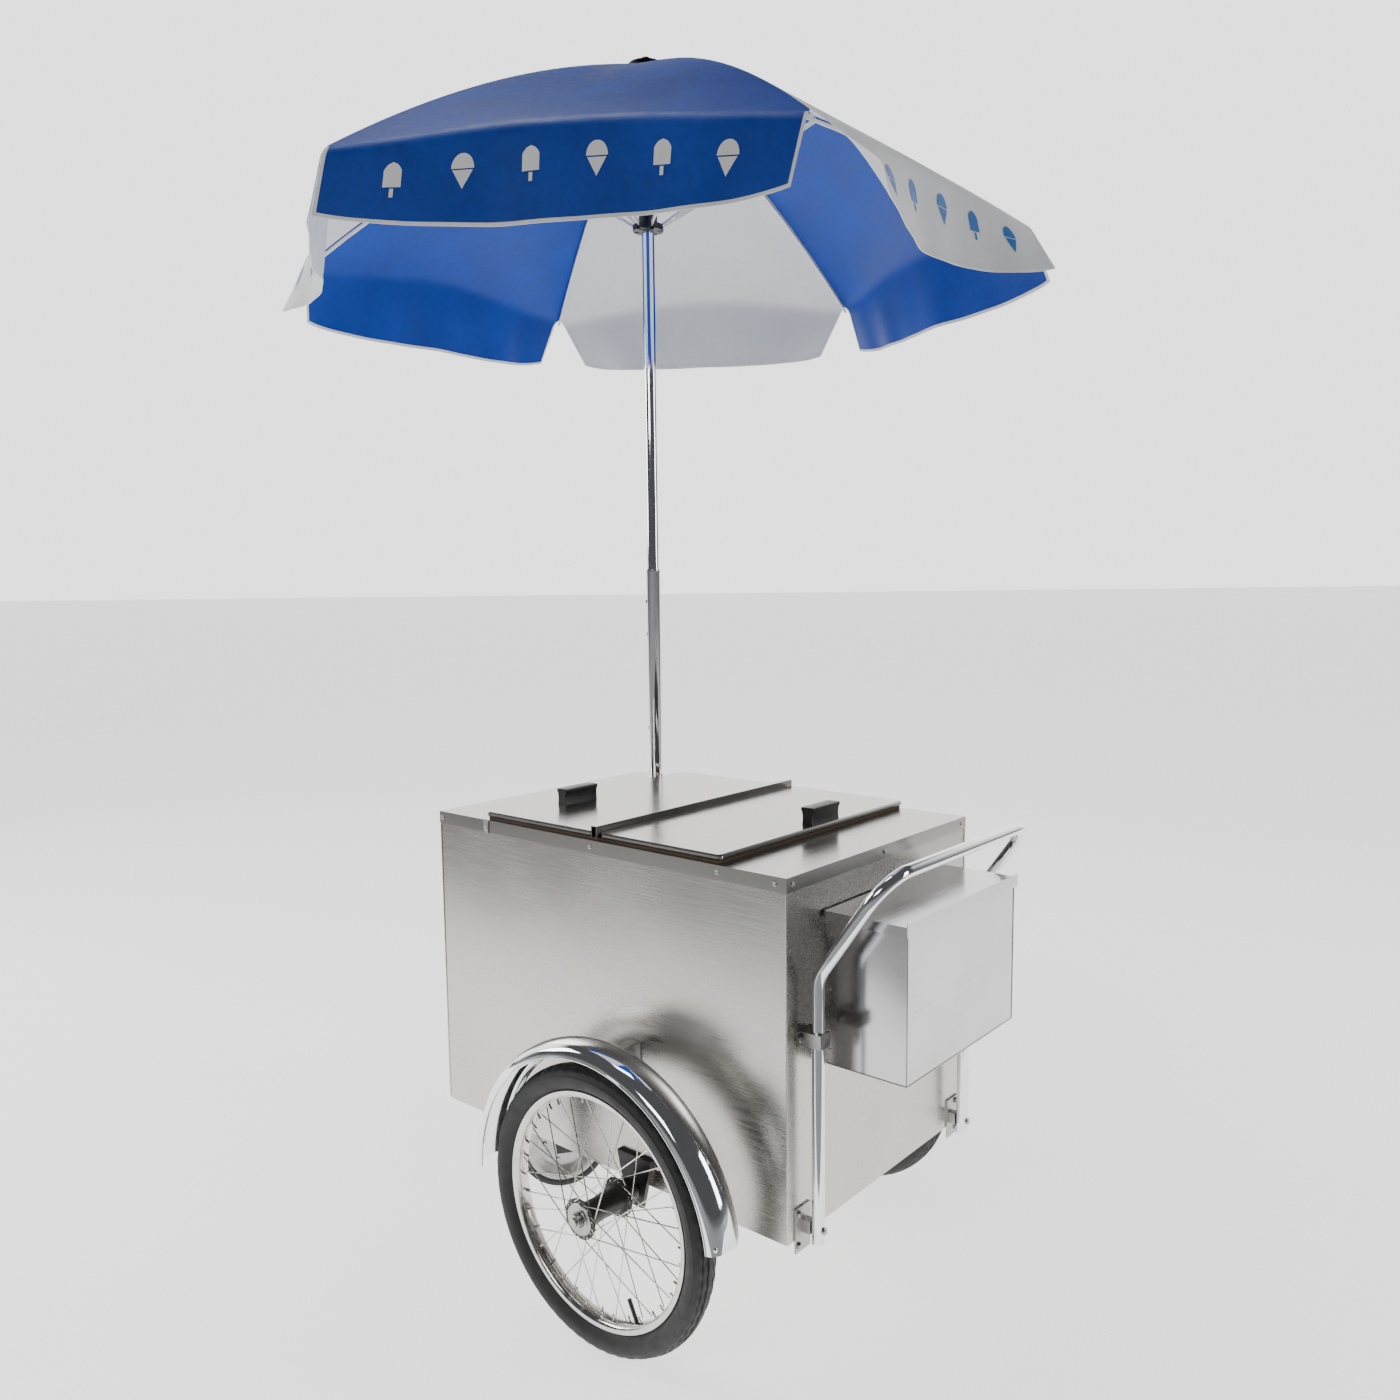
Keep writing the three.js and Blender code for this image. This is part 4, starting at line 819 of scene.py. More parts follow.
        settle(joined(f"{node}_rolled", parts), "cart", "chrome", node)

    def make(self) -> None:
        """Builds the wheel and its mudguard."""
        self.tyre()
        self.rim()
        self.hub()
        self.spoke_set()
        self.mudguard()


# ------------------------------------------------------------------ push handle and utility box


@dataclass
class PushHandle:
    """The bent chrome tube that the cart is pushed by."""

    radius: float = 0.011
    bend_z: float = 0.716
    bend_radius: float = 0.06
    arc_steps: int = 14

    def corner(self, before: Vector, at: Vector, after: Vector) -> list[Vector]:
        """The points of one rounded corner.

        Returns:
            The arc's points, from the first leg to the second.
        """
        inward = (before - at).normalized()
        outward = (after - at).normalized()
        opening = inward.angle(outward)
        setback = self.bend_radius / math.tan(opening / 2)
        centre = at + (inward + outward).normalized() * (self.bend_radius / math.sin(opening / 2))
        start = at + inward * setback - centre
        axis = start.cross(at + outward * setback - centre).normalized()
        sweep = math.pi - opening
        return [
            centre + Matrix.Rotation(sweep * i / self.arc_steps, 3, axis) @ start
            for i in range(self.arc_steps + 1)
        ]

    def make(self) -> None:
        """Builds the tube with its two end plugs, and the clamps' bolts."""
        low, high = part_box("handlebar")
        radius = self.radius
        legs_x = low[0] + radius
        grip_x = high[0] - radius
        grip_z = high[2] - radius
        near, far = low[1] + radius, high[1] - radius
        corners = [
            Vector((legs_x, near, low[2])),
            Vector((legs_x, near, self.bend_z)),
            Vector((grip_x, near, grip_z)),
            Vector((grip_x, far, grip_z)),
            Vector((legs_x, far, self.bend_z)),
            Vector((legs_x, far, low[2])),
        ]
        path = [corners[0]]
        for i in range(1, len(corners) - 1):
            path += self.corner(corners[i - 1], corners[i], corners[i + 1])
        path.append(corners[-1])
        settle(tube("handlebar_bent", path, radius, CHROME, 28), "cart", "chrome", "handlebar")
        bolts: list[Piece] = []
        head = [(0.0, 0.0), (0.0062, 0.0), (0.0062, 0.003), (0.0045, 0.0045), (0.0, 0.005)]
        for side in Side:
            plate_low, plate_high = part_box(f"handle_clamp_{side.label}")
            face = plate_low[0] + 0.003
            mid_z = (plate_low[2] + plate_high[2]) / 2
            for y in (plate_low[1] + 0.0045, plate_high[1] - 0.0045):
                bolts.append(disc_lathe("bolt", head, Vector((face, y, mid_z)), FACING_X, ZINC, 6))
            foot_low, foot_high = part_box(f"foot_bracket_{side.label}")
            outer = foot_high[1] - 0.009 if side is Side.FAR else foot_low[1] + 0.009
            for z in (foot_low[2] + 0.012, foot_high[2] - 0.01):
                place = Vector((foot_low[0] + 0.003, outer, z))
                bolts.append(disc_lathe("bolt", head, place, FACING_X, ZINC, 6))
            low_z = foot_low[2] + 0.041
            clamp_place = Vector((legs_x + radius - 0.0005, (near if side is Side.NEAR else far), low_z))
            bolts.append(disc_lathe("bolt", head, clamp_place, FACING_X, ZINC, 20))
        settle(joined("handle_bolts", bolts), "cart", "zinc_plate")


@dataclass
class UtilityBox:
    """The lidded box on the rear face: seams, rivets and a rolled hinge."""

    rivet_radius: float = 0.0026
    knuckle: float = 0.0022

    def make(self) -> None:
        """Dresses the sheet metal and adds the folded edges, rivets and hinge barrel."""
        dress(GALVANISED, "utility_box", "utility_lid")
        low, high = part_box("utility_box")
        edge = 0.0013
        edges: list[Piece] = []
        for y in (low[1], high[1]):
            path = [Vector((high[0], y, low[2])), Vector((high[0], y, high[2] - 0.002))]
            edges.append(tube("fold", path, edge, GALVANISED, 12))
            path = [Vector((low[0] + 0.002, y, low[2])), Vector((high[0], y, low[2]))]
            edges.append(tube("fold", path, edge, GALVANISED, 12))
        path = [Vector((high[0], low[1], low[2])), Vector((high[0], high[1], low[2]))]
        edges.append(tube("fold", path, edge, GALVANISED, 12))
        nib = Vector((low[0] + 0.012, low[1] + 0.012, low[2]))
        edges.append(tube("nib", [nib, nib - Vector((0.0, 0.0, 0.005))], 0.003, GALVANISED, 14))
        settle(joined("utility_box_folds", edges), "cart", "galvanised_sheet")
        lid_low, lid_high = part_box("utility_lid")
        pin_x = lid_low[0] + 0.0011
        pin_z = lid_high[2] - 0.0085
        barrel: list[Piece] = []
        pitch = 0.04
        count = int((lid_high[1] - lid_low[1] - 0.02) / pitch)
        for i in range(count):
            y0 = lid_low[1] + 0.012 + i * pitch
            path = [Vector((pin_x, y0, pin_z)), Vector((pin_x, y0 + pitch - 0.0015, pin_z))]
            barrel.append(tube("knuckle", path, self.knuckle * 0.45, ZINC, 12))
        settle(joined("utility_hinge_knuckles", barrel), "utility_lid", "zinc_plate")
        head = [(0.0, 0.0), (self.rivet_radius, 0.0), (self.rivet_radius * 0.8, 0.001), (0.0, 0.0014)]
        rivets: list[Piece] = []
        for side, y in ((Side.NEAR, low[1]), (Side.FAR, high[1])):
            turn = Matrix.Rotation(math.radians(90 * -side.sign), 3, "X")
            for z in (low[2] + 0.025, (low[2] + high[2]) / 2, high[2] - 0.035):
                rivets.append(disc_lathe("rivet", head, Vector((low[0] + 0.01, y, z)), turn, GALVANISED, 16))
        settle(joined("utility_box_rivets", rivets), "cart", "galvanised_sheet")


# ------------------------------------------------------------------ caster


@dataclass
class Caster:
    """The front caster: a pressed disc wheel on a solid tyre."""

    bolts: int = 5
    bolt_circle: float = 0.042

    def make(self) -> None:
        """Builds the smooth tyre and the pressed disc with its bolts."""
        joint = next(j for j in frame["record"]["behaviour"]["joints"] if j["name"] == "caster_wheel_spin")
        centre = Vector(joint["pos_m"])
        axis = Vector(joint["axis"]).normalized()
        turn = axis.to_track_quat("Z", "Y").to_matrix()
        low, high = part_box("caster_tyre")
        outer = (high[2] - low[2]) / 2
        seat = outer - 0.0157
        half = 0.022
        side = [
            (seat, half - 0.001),
            (seat + 0.004, half),
            (outer - 0.007, half),
            (outer - 0.003, half - 0.0025),
            (outer - 0.0008, half * 0.62),
            (outer, half * 0.3),
        ]
        profile = [(r, -y) for r, y in side] + list(reversed(side))
        tyre = lathe("caster_tyre_moulded", profile, centre, turn, TYRE_RUBBER, 96)
        settle(tyre, "caster_wheel", "tyre_rubber", "caster_tyre")
        rim = outer - 0.0162
        bore = 0.0064
        face = [
            (bore, 0.025),
            (0.0165, 0.025),
            (0.018, 0.0235),
            (0.02, 0.009),
            (0.03, 0.0068),
            (0.052, 0.0062),
            (0.06, 0.009),
            (0.068, 0.0165),
            (rim - 0.006, 0.019),
            (rim - 0.001, 0.0195),
            (rim, 0.0185),
        ]
        disc_profile = face + [(r, -y) for r, y in reversed(face)]
        parts = [lathe("disc", disc_profile, centre, turn, ZINC, 96)]
        head = [(0.0, 0.0), (0.0055, 0.0), (0.0055, 0.003), (0.004, 0.0042), (0.0, 0.0044)]
        for sign in (1.0, -1.0):
            flip = (axis * sign).to_track_quat("Z", "Y").to_matrix()
            for i in range(self.bolts):
                angle = FULL_TURN * i / self.bolts
                local = Vector((math.cos(angle), math.sin(angle), 0.0)) * self.bolt_circle
                place = centre + turn @ local + axis * sign * 0.0063
                parts.append(disc_lathe("bolt", head, place, flip, ZINC, 6))
        settle(joined("caster_disc_pressed", parts), "caster_wheel", "zinc_plate", "caster_disc")


# ------------------------------------------------------------------ mast and umbrella


@dataclass
class Mast:
    """The two telescopic tubes, their button, the crown, the finial and the runner."""

    lower_radius: float = 0.0165
    upper_radius: float = 0.0145
    sheet: float = 0.0015
    lip_rise: float = 0.0006
    holes_below_button: tuple[float, ...] = (0.077, 0.3)
    set_screw_rise: float = 0.012

    def pipe(self, node: str, radius: float, lip: bool) -> Piece:
        """A drawn tube in place of a faceted one, with a rolled mouth if asked.

        Returns:
            The tube.
        """
        low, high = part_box(node)
        centre = middle(node)
        centre.z = 0.0
        inner = radius - self.sheet
        mouth = radius + (self.lip_rise if lip else 0.0)
        top = high[2]
        profile = [
            (radius - 0.0008, low[2]),
            (radius, low[2] + 0.0008),
            (radius, top - 0.006),
            (mouth, top - 0.004),
            (mouth, top - 0.001),
            (radius - 0.0004, top),
            (inner, top),
            (inner, low[2]),
        ]
        return lathe(f"{node}_drawn", profile, centre, UPRIGHT_AXIS, CHROME, 64)

    def make(self) -> None:
        """Builds the mast from the socket to the finial."""
        settle(self.pipe("lower_mast", self.lower_radius, True), "mast", "chrome", "lower_mast")
        settle(self.pipe("upper_pole", self.upper_radius, False), "pole", "chrome", "upper_pole")
        dress(BLACK_PLASTIC, "runner")
        centre = middle("upper_pole")
        button = middle("snap_button")
        outward = Vector((button.x - centre.x, button.y - centre.y, 0.0)).normalized()
        turn = outward.to_track_quat("Z", "Y").to_matrix()
        dome = [
            (0.0, -0.004),
            (0.0044, -0.004),
            (0.0044, 0.0012),
            (0.0034, 0.0026),
            (0.0018, 0.0034),
            (0.0, 0.0036),
        ]
        face = Vector((centre.x, centre.y, button.z)) + outward * self.lower_radius
        settle(disc_lathe("snap_button_domed", dome, face, turn, ZINC, 24), "button", "black_plastic",
               "snap_button")
        eyelet = [
            (0.0036, -0.0006),
            (0.0052, -0.0006),
            (0.0052, 0.0005),
            (0.0044, 0.0009),
            (0.0036, 0.0005),
        ]
        # Painted shade: flat black discs sunk in the open holes below the button stand for the holes' dark
        # insides.
        hole_shade = [(0.0, -0.0008), (0.0037, -0.0008), (0.0037, 0.0002), (0.0, 0.0002)]
        spots = [Vector((centre.x, centre.y, button.z - below)) for below in self.holes_below_button]
        rings = [lathe("eyelet", eyelet, at + outward * self.lower_radius, turn, ZINC, 32) for at in spots]
        settle(joined("mast_eyelets", rings), "mast", "zinc_plate")
        dark = [disc_lathe("hole", hole_shade, at + outward * self.lower_radius, turn, BLACK_PLASTIC, 24)
                for at in spots]
        settle(joined("mast_hole_painted_shade", dark), "mast", "black_plastic")
        deck_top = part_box("top_deck")[1][2]
        ferrule = [
            (self.lower_radius + 0.0005, 0.0),
            (self.lower_radius + 0.0035, 0.0),
            (self.lower_radius + 0.003, 0.0012),
            (self.lower_radius + 0.0005, 0.0018),
        ]
        base = Vector((centre.x, centre.y, deck_top))
        settle(lathe("mast_ferrule", ferrule, base, UPRIGHT_AXIS, CHROME, 64), "cart", "chrome")
        screw = [(0.0, 0.0), (0.0028, 0.0), (0.0028, 0.0006), (0.0012, 0.0009), (0.0, 0.0002)]
        low_face = Vector((centre.x, centre.y, deck_top + self.set_screw_rise)) + outward * self.lower_radius
        settle(disc_lathe("mast_set_screw", screw, low_face, turn, BLACK_STEEL, 20), "mast", "black_steel")
        self.crown(centre)

    def crown(self, centre: Vector) -> None:
        """The black crown cap, its blue collar, its black knob, and the catch above the runner."""
        dress(BLACK_PLASTIC, "crown")
        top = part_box("crown")[1][2]
        base = Vector((centre.x, centre.y, 0.0))
        collar = [
            (0.0102, top - 0.0105),
            (0.019, top - 0.0112),
            (0.0195, top - 0.0098),
            (0.0155, top - 0.0078),
            (0.0102, top - 0.0074),
        ]
        settle(lathe("finial_collar", collar, base, UPRIGHT_AXIS, BLUE_PLASTIC, 48), "pole", "black_plastic")
        knob = [
            (0.0, top - 0.0105),
            (0.0106, top - 0.0105),
            (0.0112, top - 0.006),
            (0.0108, top - 0.001),
            (0.0085, top + 0.0022),
            (0.004, top + 0.0036),
            (0.0, top + 0.004),
        ]
        settle(disc_lathe("finial_knob", knob, base, UPRIGHT_AXIS, BLACK_PLASTIC, 48), "pole",
               "black_plastic")
        runner_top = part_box("runner")[1][2]
        catch = [
            base + Vector((-0.0148, 0.0, runner_top + 0.002)),
            base + Vector((-0.0188, 0.0, runner_top + 0.008)),
            base + Vector((-0.0152, 0.0, runner_top + 0.03)),
        ]
        settle(tube("runner_catch", catch, 0.0022, BLACK_STEEL, 12), "pole", "black_steel")


@dataclass
class Umbrella:
    """The six-gore umbrella: cloth, valance, white binding, printed treats and rib ends.

    Every gore is cut along its middle into two wings. A wing moves with the rib that it is sewn to.
    """

    ribs: int = 6
    first_azimuth: float = 31.0
    hole: float = 0.033
    reach: float = 0.834
    slope: float = 0.27
    curve: float = 0.24
    over_rib: float = 0.0056
    edge_rise: float = 0.034
    edge_inset: float = 0.038
    billow: float = 0.008
    drop: float = 0.192
    roll: float = 0.03
    roll_start: float = 36.0
    hang: float = 82.0
    end_hangs: tuple[tuple[float, float], ...] = (
        (58.0, 80.0), (82.0, 82.0), (82.0, 70.0), (64.0, 76.0), (80.0, 80.0), (42.0, 58.0))
    end_pulls: tuple[tuple[float, float], ...] = (
        (0.02, 0.042), (0.068, 0.068), (0.055, 0.03), (0.03, 0.03), (-0.018, 0.03), (0.04, 0.02))
    end_drop: float = 0.134
    wrinkle: float = 0.0052
    roof_rows: int = 22
    flap_rows: int = 16
    columns: int = 22
    binding: float = 0.006
    binding_stand: float = 0.0009
    fold_keep: float = 0.24
    print_stand: float = 0.0009
    print_foot: float = 0.118
    print_height: float = 0.062
    print_places: tuple[float, ...] = (0.3, 0.58, 0.86)
    cloth_above_crown: float = 0.0069
    pucker: float = 0.0022
    pucker_waves: float = 46.0
    pucker_fade: float = 9.0
    chord: tuple[float, float] = (0.904, -0.428)
    gather: tuple[float, float] = (0.9715, 0.2371)
    hinge_radius: float = 0.022
    hem_overhang: float = 1.004
    end_start: float = 0.06
    cap_start: float = 0.829
    cap_radius: float = 0.0036
    sheet_flat: tuple[float, float] = (0.42, 1.08)
    sheet_allowance: float = 1.01
    mast: Vector = field(init=False)
    crown_z: float = field(init=False)

    def __post_init__(self) -> None:
        """Takes the mast's place and the crown's height from the frame."""
        self.mast = middle("upper_pole")
        self.mast.z = 0.0
        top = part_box("canopy_1")[1][2]
        fall = self.slope * self.hole + self.curve * self.hole**2
        self.crown_z = top + fall - self.cloth_above_crown

    def rib_height(self, radius: float) -> float:
        """The height of a rib's middle line at a radius from the mast."""
        return self.crown_z - self.slope * radius - self.curve * radius**2

    def azimuth(self, rib: int) -> float:
        """A rib's direction in radians, from +X towards +Y."""
        return math.radians(self.first_azimuth + 360.0 * rib / self.ribs)

    def gore_of(self, rib: int, hand: int) -> int:
        """The gore that a rib's wing belongs to; hand is +1 for the wing at rising azimuth."""
        return rib if hand > 0 else (rib - 1) % self.ribs

    def hand_word(self, hand: int) -> str:
        """The word for a wing's hand in the names of its pieces."""
        return "left" if hand < 0 else "right"

    def ripple(self, gore: int, place: float, fall: float) -> float:
        """The outward wave of the valance; place runs from -1 to 1 across the gore."""
        phase = 1.7 * gore
        wave = math.sin(5.3 * place + phase) + 0.55 * math.sin(11.0 * place - 0.7 * phase)
        wave += 0.3 * math.sin(19.0 * place + 2.1 * phase + 2.0 * fall)
        return self.wrinkle * fall**0.8 * wave

    def roof(self, gore: int, along: float, across: float) -> Vector:
        """A point of the roof over one rib, in the rib's own frame, with the rib along +X.

        Returns:
            The point, with Y towards the gore's middle.
        """
        half = math.pi / self.ribs
        radius = self.hole + (self.reach - self.hole) * along
        share = min(max(across, 0.0), 1.0)
        bow = math.sin(math.pi * share / 2)
        arch = along**3 * bow**1.4
        inset = self.edge_inset * arch
        mid = radius * math.cos(half)
        x = radius * (1 - share) + (mid * share - inset) * math.cos(half)
        y = (mid * share - inset) * math.sin(half)
        z = self.rib_height(radius) + self.over_rib + self.edge_rise * arch
        z -= self.billow * math.sin(math.pi * along) * bow**2
        pucker = self.pucker * math.sin(self.pucker_waves * along + 1.3 * gore)
        return Vector((x, y, z + pucker * share * math.exp(-self.pucker_fade * share)))

    def length(self, across: float) -> float:
        """How long the valance is at a share of the way from the rib to the gore's middle."""
        return self.end_drop + (self.drop - self.end_drop) * (1.0 - (1.0 - across) ** 2)

    def at_ends(self, pair: tuple[float, float], usual: float, place: float) -> float:
        """A value that is usual in the gore's middle and has its own amount at each end."""
        return (usual + (pair[0] - usual) * max(-place, 0.0) ** 1.5
                + (pair[1] - usual) * max(place, 0.0) ** 1.5)

    def fall_of(self, length: float, hang: float) -> tuple[float, float]:
        """How far out and down the cloth gets at a length past the fold.

        Args:
            length: the length along the cloth.
            hang: the angle below level that it ends up at, in degrees.

        Returns:
            The outward and downward distances.
        """
        steps = 12
        out = 0.0
        down = 0.0
        for i in range(steps):
            at = length * (i + 0.5) / steps
            bend = min(at / self.roll, 1.0)
            angle = math.radians(self.roll_start + (hang - self.roll_start) * bend)
            out += math.cos(angle) * length / steps
            down += math.sin(angle) * length / steps
        return out, down

    def flap(self, gore: int, hand: int, across: float, fall: float, stand: float = 0.0) -> Vector:
        """A point of the valance, in the rib's own frame with Y towards the gore's middle.

        Args:
            gore: the gore's number.
            hand: +1 or -1, the wing's side of its rib.
            across: 0 at the rib and 1 at the gore's middle.
            fall: 0 at the fold and 1 at the hem.
            stand: how far the point stands off the cloth's outside.

        Returns:
            The point.
        """
        edge = self.roof(gore, 1.0, across)
        place = (across - 1.0) * hand
        hang = self.at_ends(self.end_hangs[gore], self.hang, place)
        out, down = self.fall_of(self.length(across) * fall, hang)
        half = math.pi / self.ribs
        facing = Vector((math.cos(half), math.sin(half), 0.0))
        sideways = Vector((-math.sin(half), math.cos(half), 0.0))
        wave = self.ripple(gore, place, fall)
        pulled = self.at_ends(self.end_pulls[gore], 0.0, place) * fall
        point = edge + facing * (out + wave + stand) + sideways * pulled
        point.z -= down
        return point

    def place(self, rib: int, hand: int, local: Vector) -> Vector:
        """Turns a point from the rib's own frame into the cart's frame."""
        turn = Matrix.Rotation(self.azimuth(rib), 3, "Z")
        return self.mast + turn @ Vector((local.x, local.y * hand, local.z))

    def fold(self, piece: Piece, rib: int, hand: int) -> None:
        """Works out the rib's hinge point and gives a cloth piece its own mesh."""
        azimuth = self.azimuth(rib)
        outward = Vector((math.cos(azimuth), math.sin(azimuth), 0.0))
        anchor = self.mast + outward * self.hinge_radius
        anchor.z = self.rib_height(self.hinge_radius)
        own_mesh(piece)

    def cloth(self, rib: int, hand: int) -> Piece:
        """One wing of the canopy: roof and valance in one sheet.

        Returns:
            The wing.
        """
        gore = self.gore_of(rib, hand)
        verts: list[Vector] = []
        shares = [i / self.columns for i in range(self.columns + 1)]
        for row in range(self.roof_rows + 1):
            along = row / self.roof_rows
            verts += [self.place(rib, hand, self.roof(gore, along, share)) for share in shares]
        for row in range(1, self.flap_rows + 1):
            fall = (row / self.flap_rows) ** 1.25
            verts += [self.place(rib, hand, self.flap(gore, hand, share, fall)) for share in shares]
        width = self.columns + 1
        faces = []
        for row in range(self.roof_rows + self.flap_rows):
            for column in range(self.columns):
                a = row * width + column
                faces.append([a, a + 1, a + width + 1, a + width])
        finish = WHITE_CLOTH if gore % 2 else BLUE_CLOTH
        made = build(f"canopy_{rib + 1}_{self.hand_word(hand)}_wing", verts, faces, finish)
        if sum(polygon.normal.z for polygon in made.data.polygons) < 0:
            made.data.flip_normals()
        return made

    def strip(self, name: str, rows: Sequence[tuple[Vector, Vector, Vector, Vector]]) -> Piece:
        """A closed band through stations of four corners.

        Returns:
            The band.
        """
        verts = [corner for row in rows for corner in row]
        faces: list[list[int]] = [[0, 1, 2, 3]]
        for i in range(len(rows) - 1):
            for j in range(4):
                k = (j + 1) % 4
                faces.append([i * 4 + j, i * 4 + k, i * 4 + 4 + k, i * 4 + 4 + j])
        last = (len(rows) - 1) * 4
        faces.append([last, last + 3, last + 2, last + 1])
        return build(name, verts, faces, TAPE)

    def bound_edge(self, rib: int, hand: int) -> Piece:
        """The white tape folded round the hem and up the flap's free end at the rib.

        Returns:
            The tape.
        """
        gore = self.gore_of(rib, hand)
        stand = self.binding_stand

        def at(share: float, fall: float, off: float) -> Vector:
            """A point that stands off the flap, in the cart's frame."""
            return self.place(rib, hand, self.flap(gore, hand, share, fall, off))

        hem = []
        for i in range(self.columns * 2 + 1):
            share = i / (self.columns * 2)
            lift = 1.0 - self.binding / self.length(share)
            hem.append((at(share, lift, stand), at(share, self.hem_overhang, stand),
                        at(share, self.hem_overhang, -stand), at(share, lift, -stand)))
        inner = self.binding / (self.reach * 0.5)
        end = []
        for i in range(self.flap_rows + 1):
            fall = self.end_start + 0.94 * i / self.flap_rows
            end.append((at(0.0, fall, stand), at(inner, fall, stand),
                        at(inner, fall, -stand), at(0.0, fall, -stand)))
        name = f"binding_{rib + 1}_{self.hand_word(hand)}"
        return joined(name, [self.strip("hem", hem), self.strip("end", end)])

    def cone_outline(self) -> list[Outline]:
        """A plain cone and its scoop, each as (foot, top, half width at a height)."""
        tip, half_mouth = 0.033, 0.0165
        scoop_foot, scoop_half, scoop_tall = 0.0355, 0.0185, 0.027
        return [
            (0.0, tip, lambda v: half_mouth * v / tip),
            (scoop_foot, self.print_height,
             lambda v: scoop_half * math.sqrt(max(1 - ((v - scoop_foot) / scoop_tall) ** 2, 0.0))),
        ]

    def pop_outline(self) -> list[Outline]:
        """A stick and its plain ice pop, each as (foot, top, half width at a height)."""
        stick_top, stick_half = 0.0155, 0.0032
        pop_foot, pop_half, pop_round = 0.018, 0.0145, 0.014
        high = self.print_height
        return [
            (0.0, stick_top, lambda v: stick_half),
            (pop_foot, high, lambda v: pop_half * min(1.0, math.sqrt(max((high - v) / pop_round, 0.0)))),
        ]

    def treat(self, rib: int, hand: int, middle_share: float, cone: bool) -> Piece:
        """One printed treat on the valance: a plain cone with its scoop, or a plain ice pop.

        Returns:
            The print.
        """
        gore = self.gore_of(rib, hand)
        width = self.reach * 0.5 - 0.02
        shapes = self.cone_outline() if cone else self.pop_outline()
        verts: list[Vector] = []
        faces: list[list[int]] = []
        columns, rows = 8, 12
        for start, stop, half in shapes:
            base = len(verts)
            for i in range(rows + 1):
                v = start + (stop - start) * i / rows
                reach = max(half(v), 0.0002)
                for j in range(columns + 1):
                    u = reach * (2 * j / columns - 1)
                    share = middle_share + u / width
                    fall = (self.print_foot - v) / self.length(middle_share)
                    point = self.flap(gore, hand, share, fall, self.print_stand)
                    verts.append(self.place(rib, hand, point))
            for i in range(rows):
                for j in range(columns):
                    a = base + i * (columns + 1) + j
                    faces.append([a, a + 1, a + columns + 2, a + columns + 1])
        finish = BLUE_PRINT if gore % 2 else WHITE_PRINT
        return build("treat", verts, faces, finish)

    def wing(self, rib: int, hand: int) -> None:
        """Builds one wing with its tape and its prints."""
        cloth = self.cloth(rib, hand)
        tape = self.bound_edge(rib, hand)
        prints = [
            self.treat(rib, hand, share, (i + (hand > 0)) % 2 == 0)
            for i, share in enumerate(self.print_places)
        ]
        printed = joined(f"treats_{rib + 1}_{self.hand_word(hand)}", prints)
        for piece, slot in ((cloth, "canopy_cloth"), (tape, "canopy_cloth"), (printed, "canopy_cloth")):
            settle(piece, f"rib_arm_{rib + 1}", slot)
            self.fold(piece, rib, hand)
        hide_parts(f"canopy_{rib + 1}")

    def rib_end(self, rib: int) -> None:
        """The small white cap on a rib's tip."""
        azimuth = self.azimuth(rib)
        outward = Vector((math.cos(azimuth), math.sin(azimuth), 0.0))
        slope = self.slope + 2 * self.curve * self.reach
        run = (outward - Vector((0.0, 0.0, slope))).normalized()
        tip = self.mast + outward * self.cap_start
        tip.z = self.rib_height(self.cap_start) - 0.003
        path = [tip, tip + run * 0.008, tip + run * 0.015]
        cap = tube(f"rib_cap_{rib + 1}", path, self.cap_radius, ENAMEL, 16)
        settle(cap, f"rib_arm_{rib + 1}", "white_enamel")

    def make(self) -> None:
        """Builds the umbrella over its carried ribs and stretchers."""
        for rib in range(self.ribs):
            dress(ENAMEL, f"rib_{rib + 1}", f"stretcher_{rib + 1}")
            for hand in (1, -1):
                self.wing(rib, hand)
            self.rib_end(rib)


# ------------------------------------------------------------------ studio


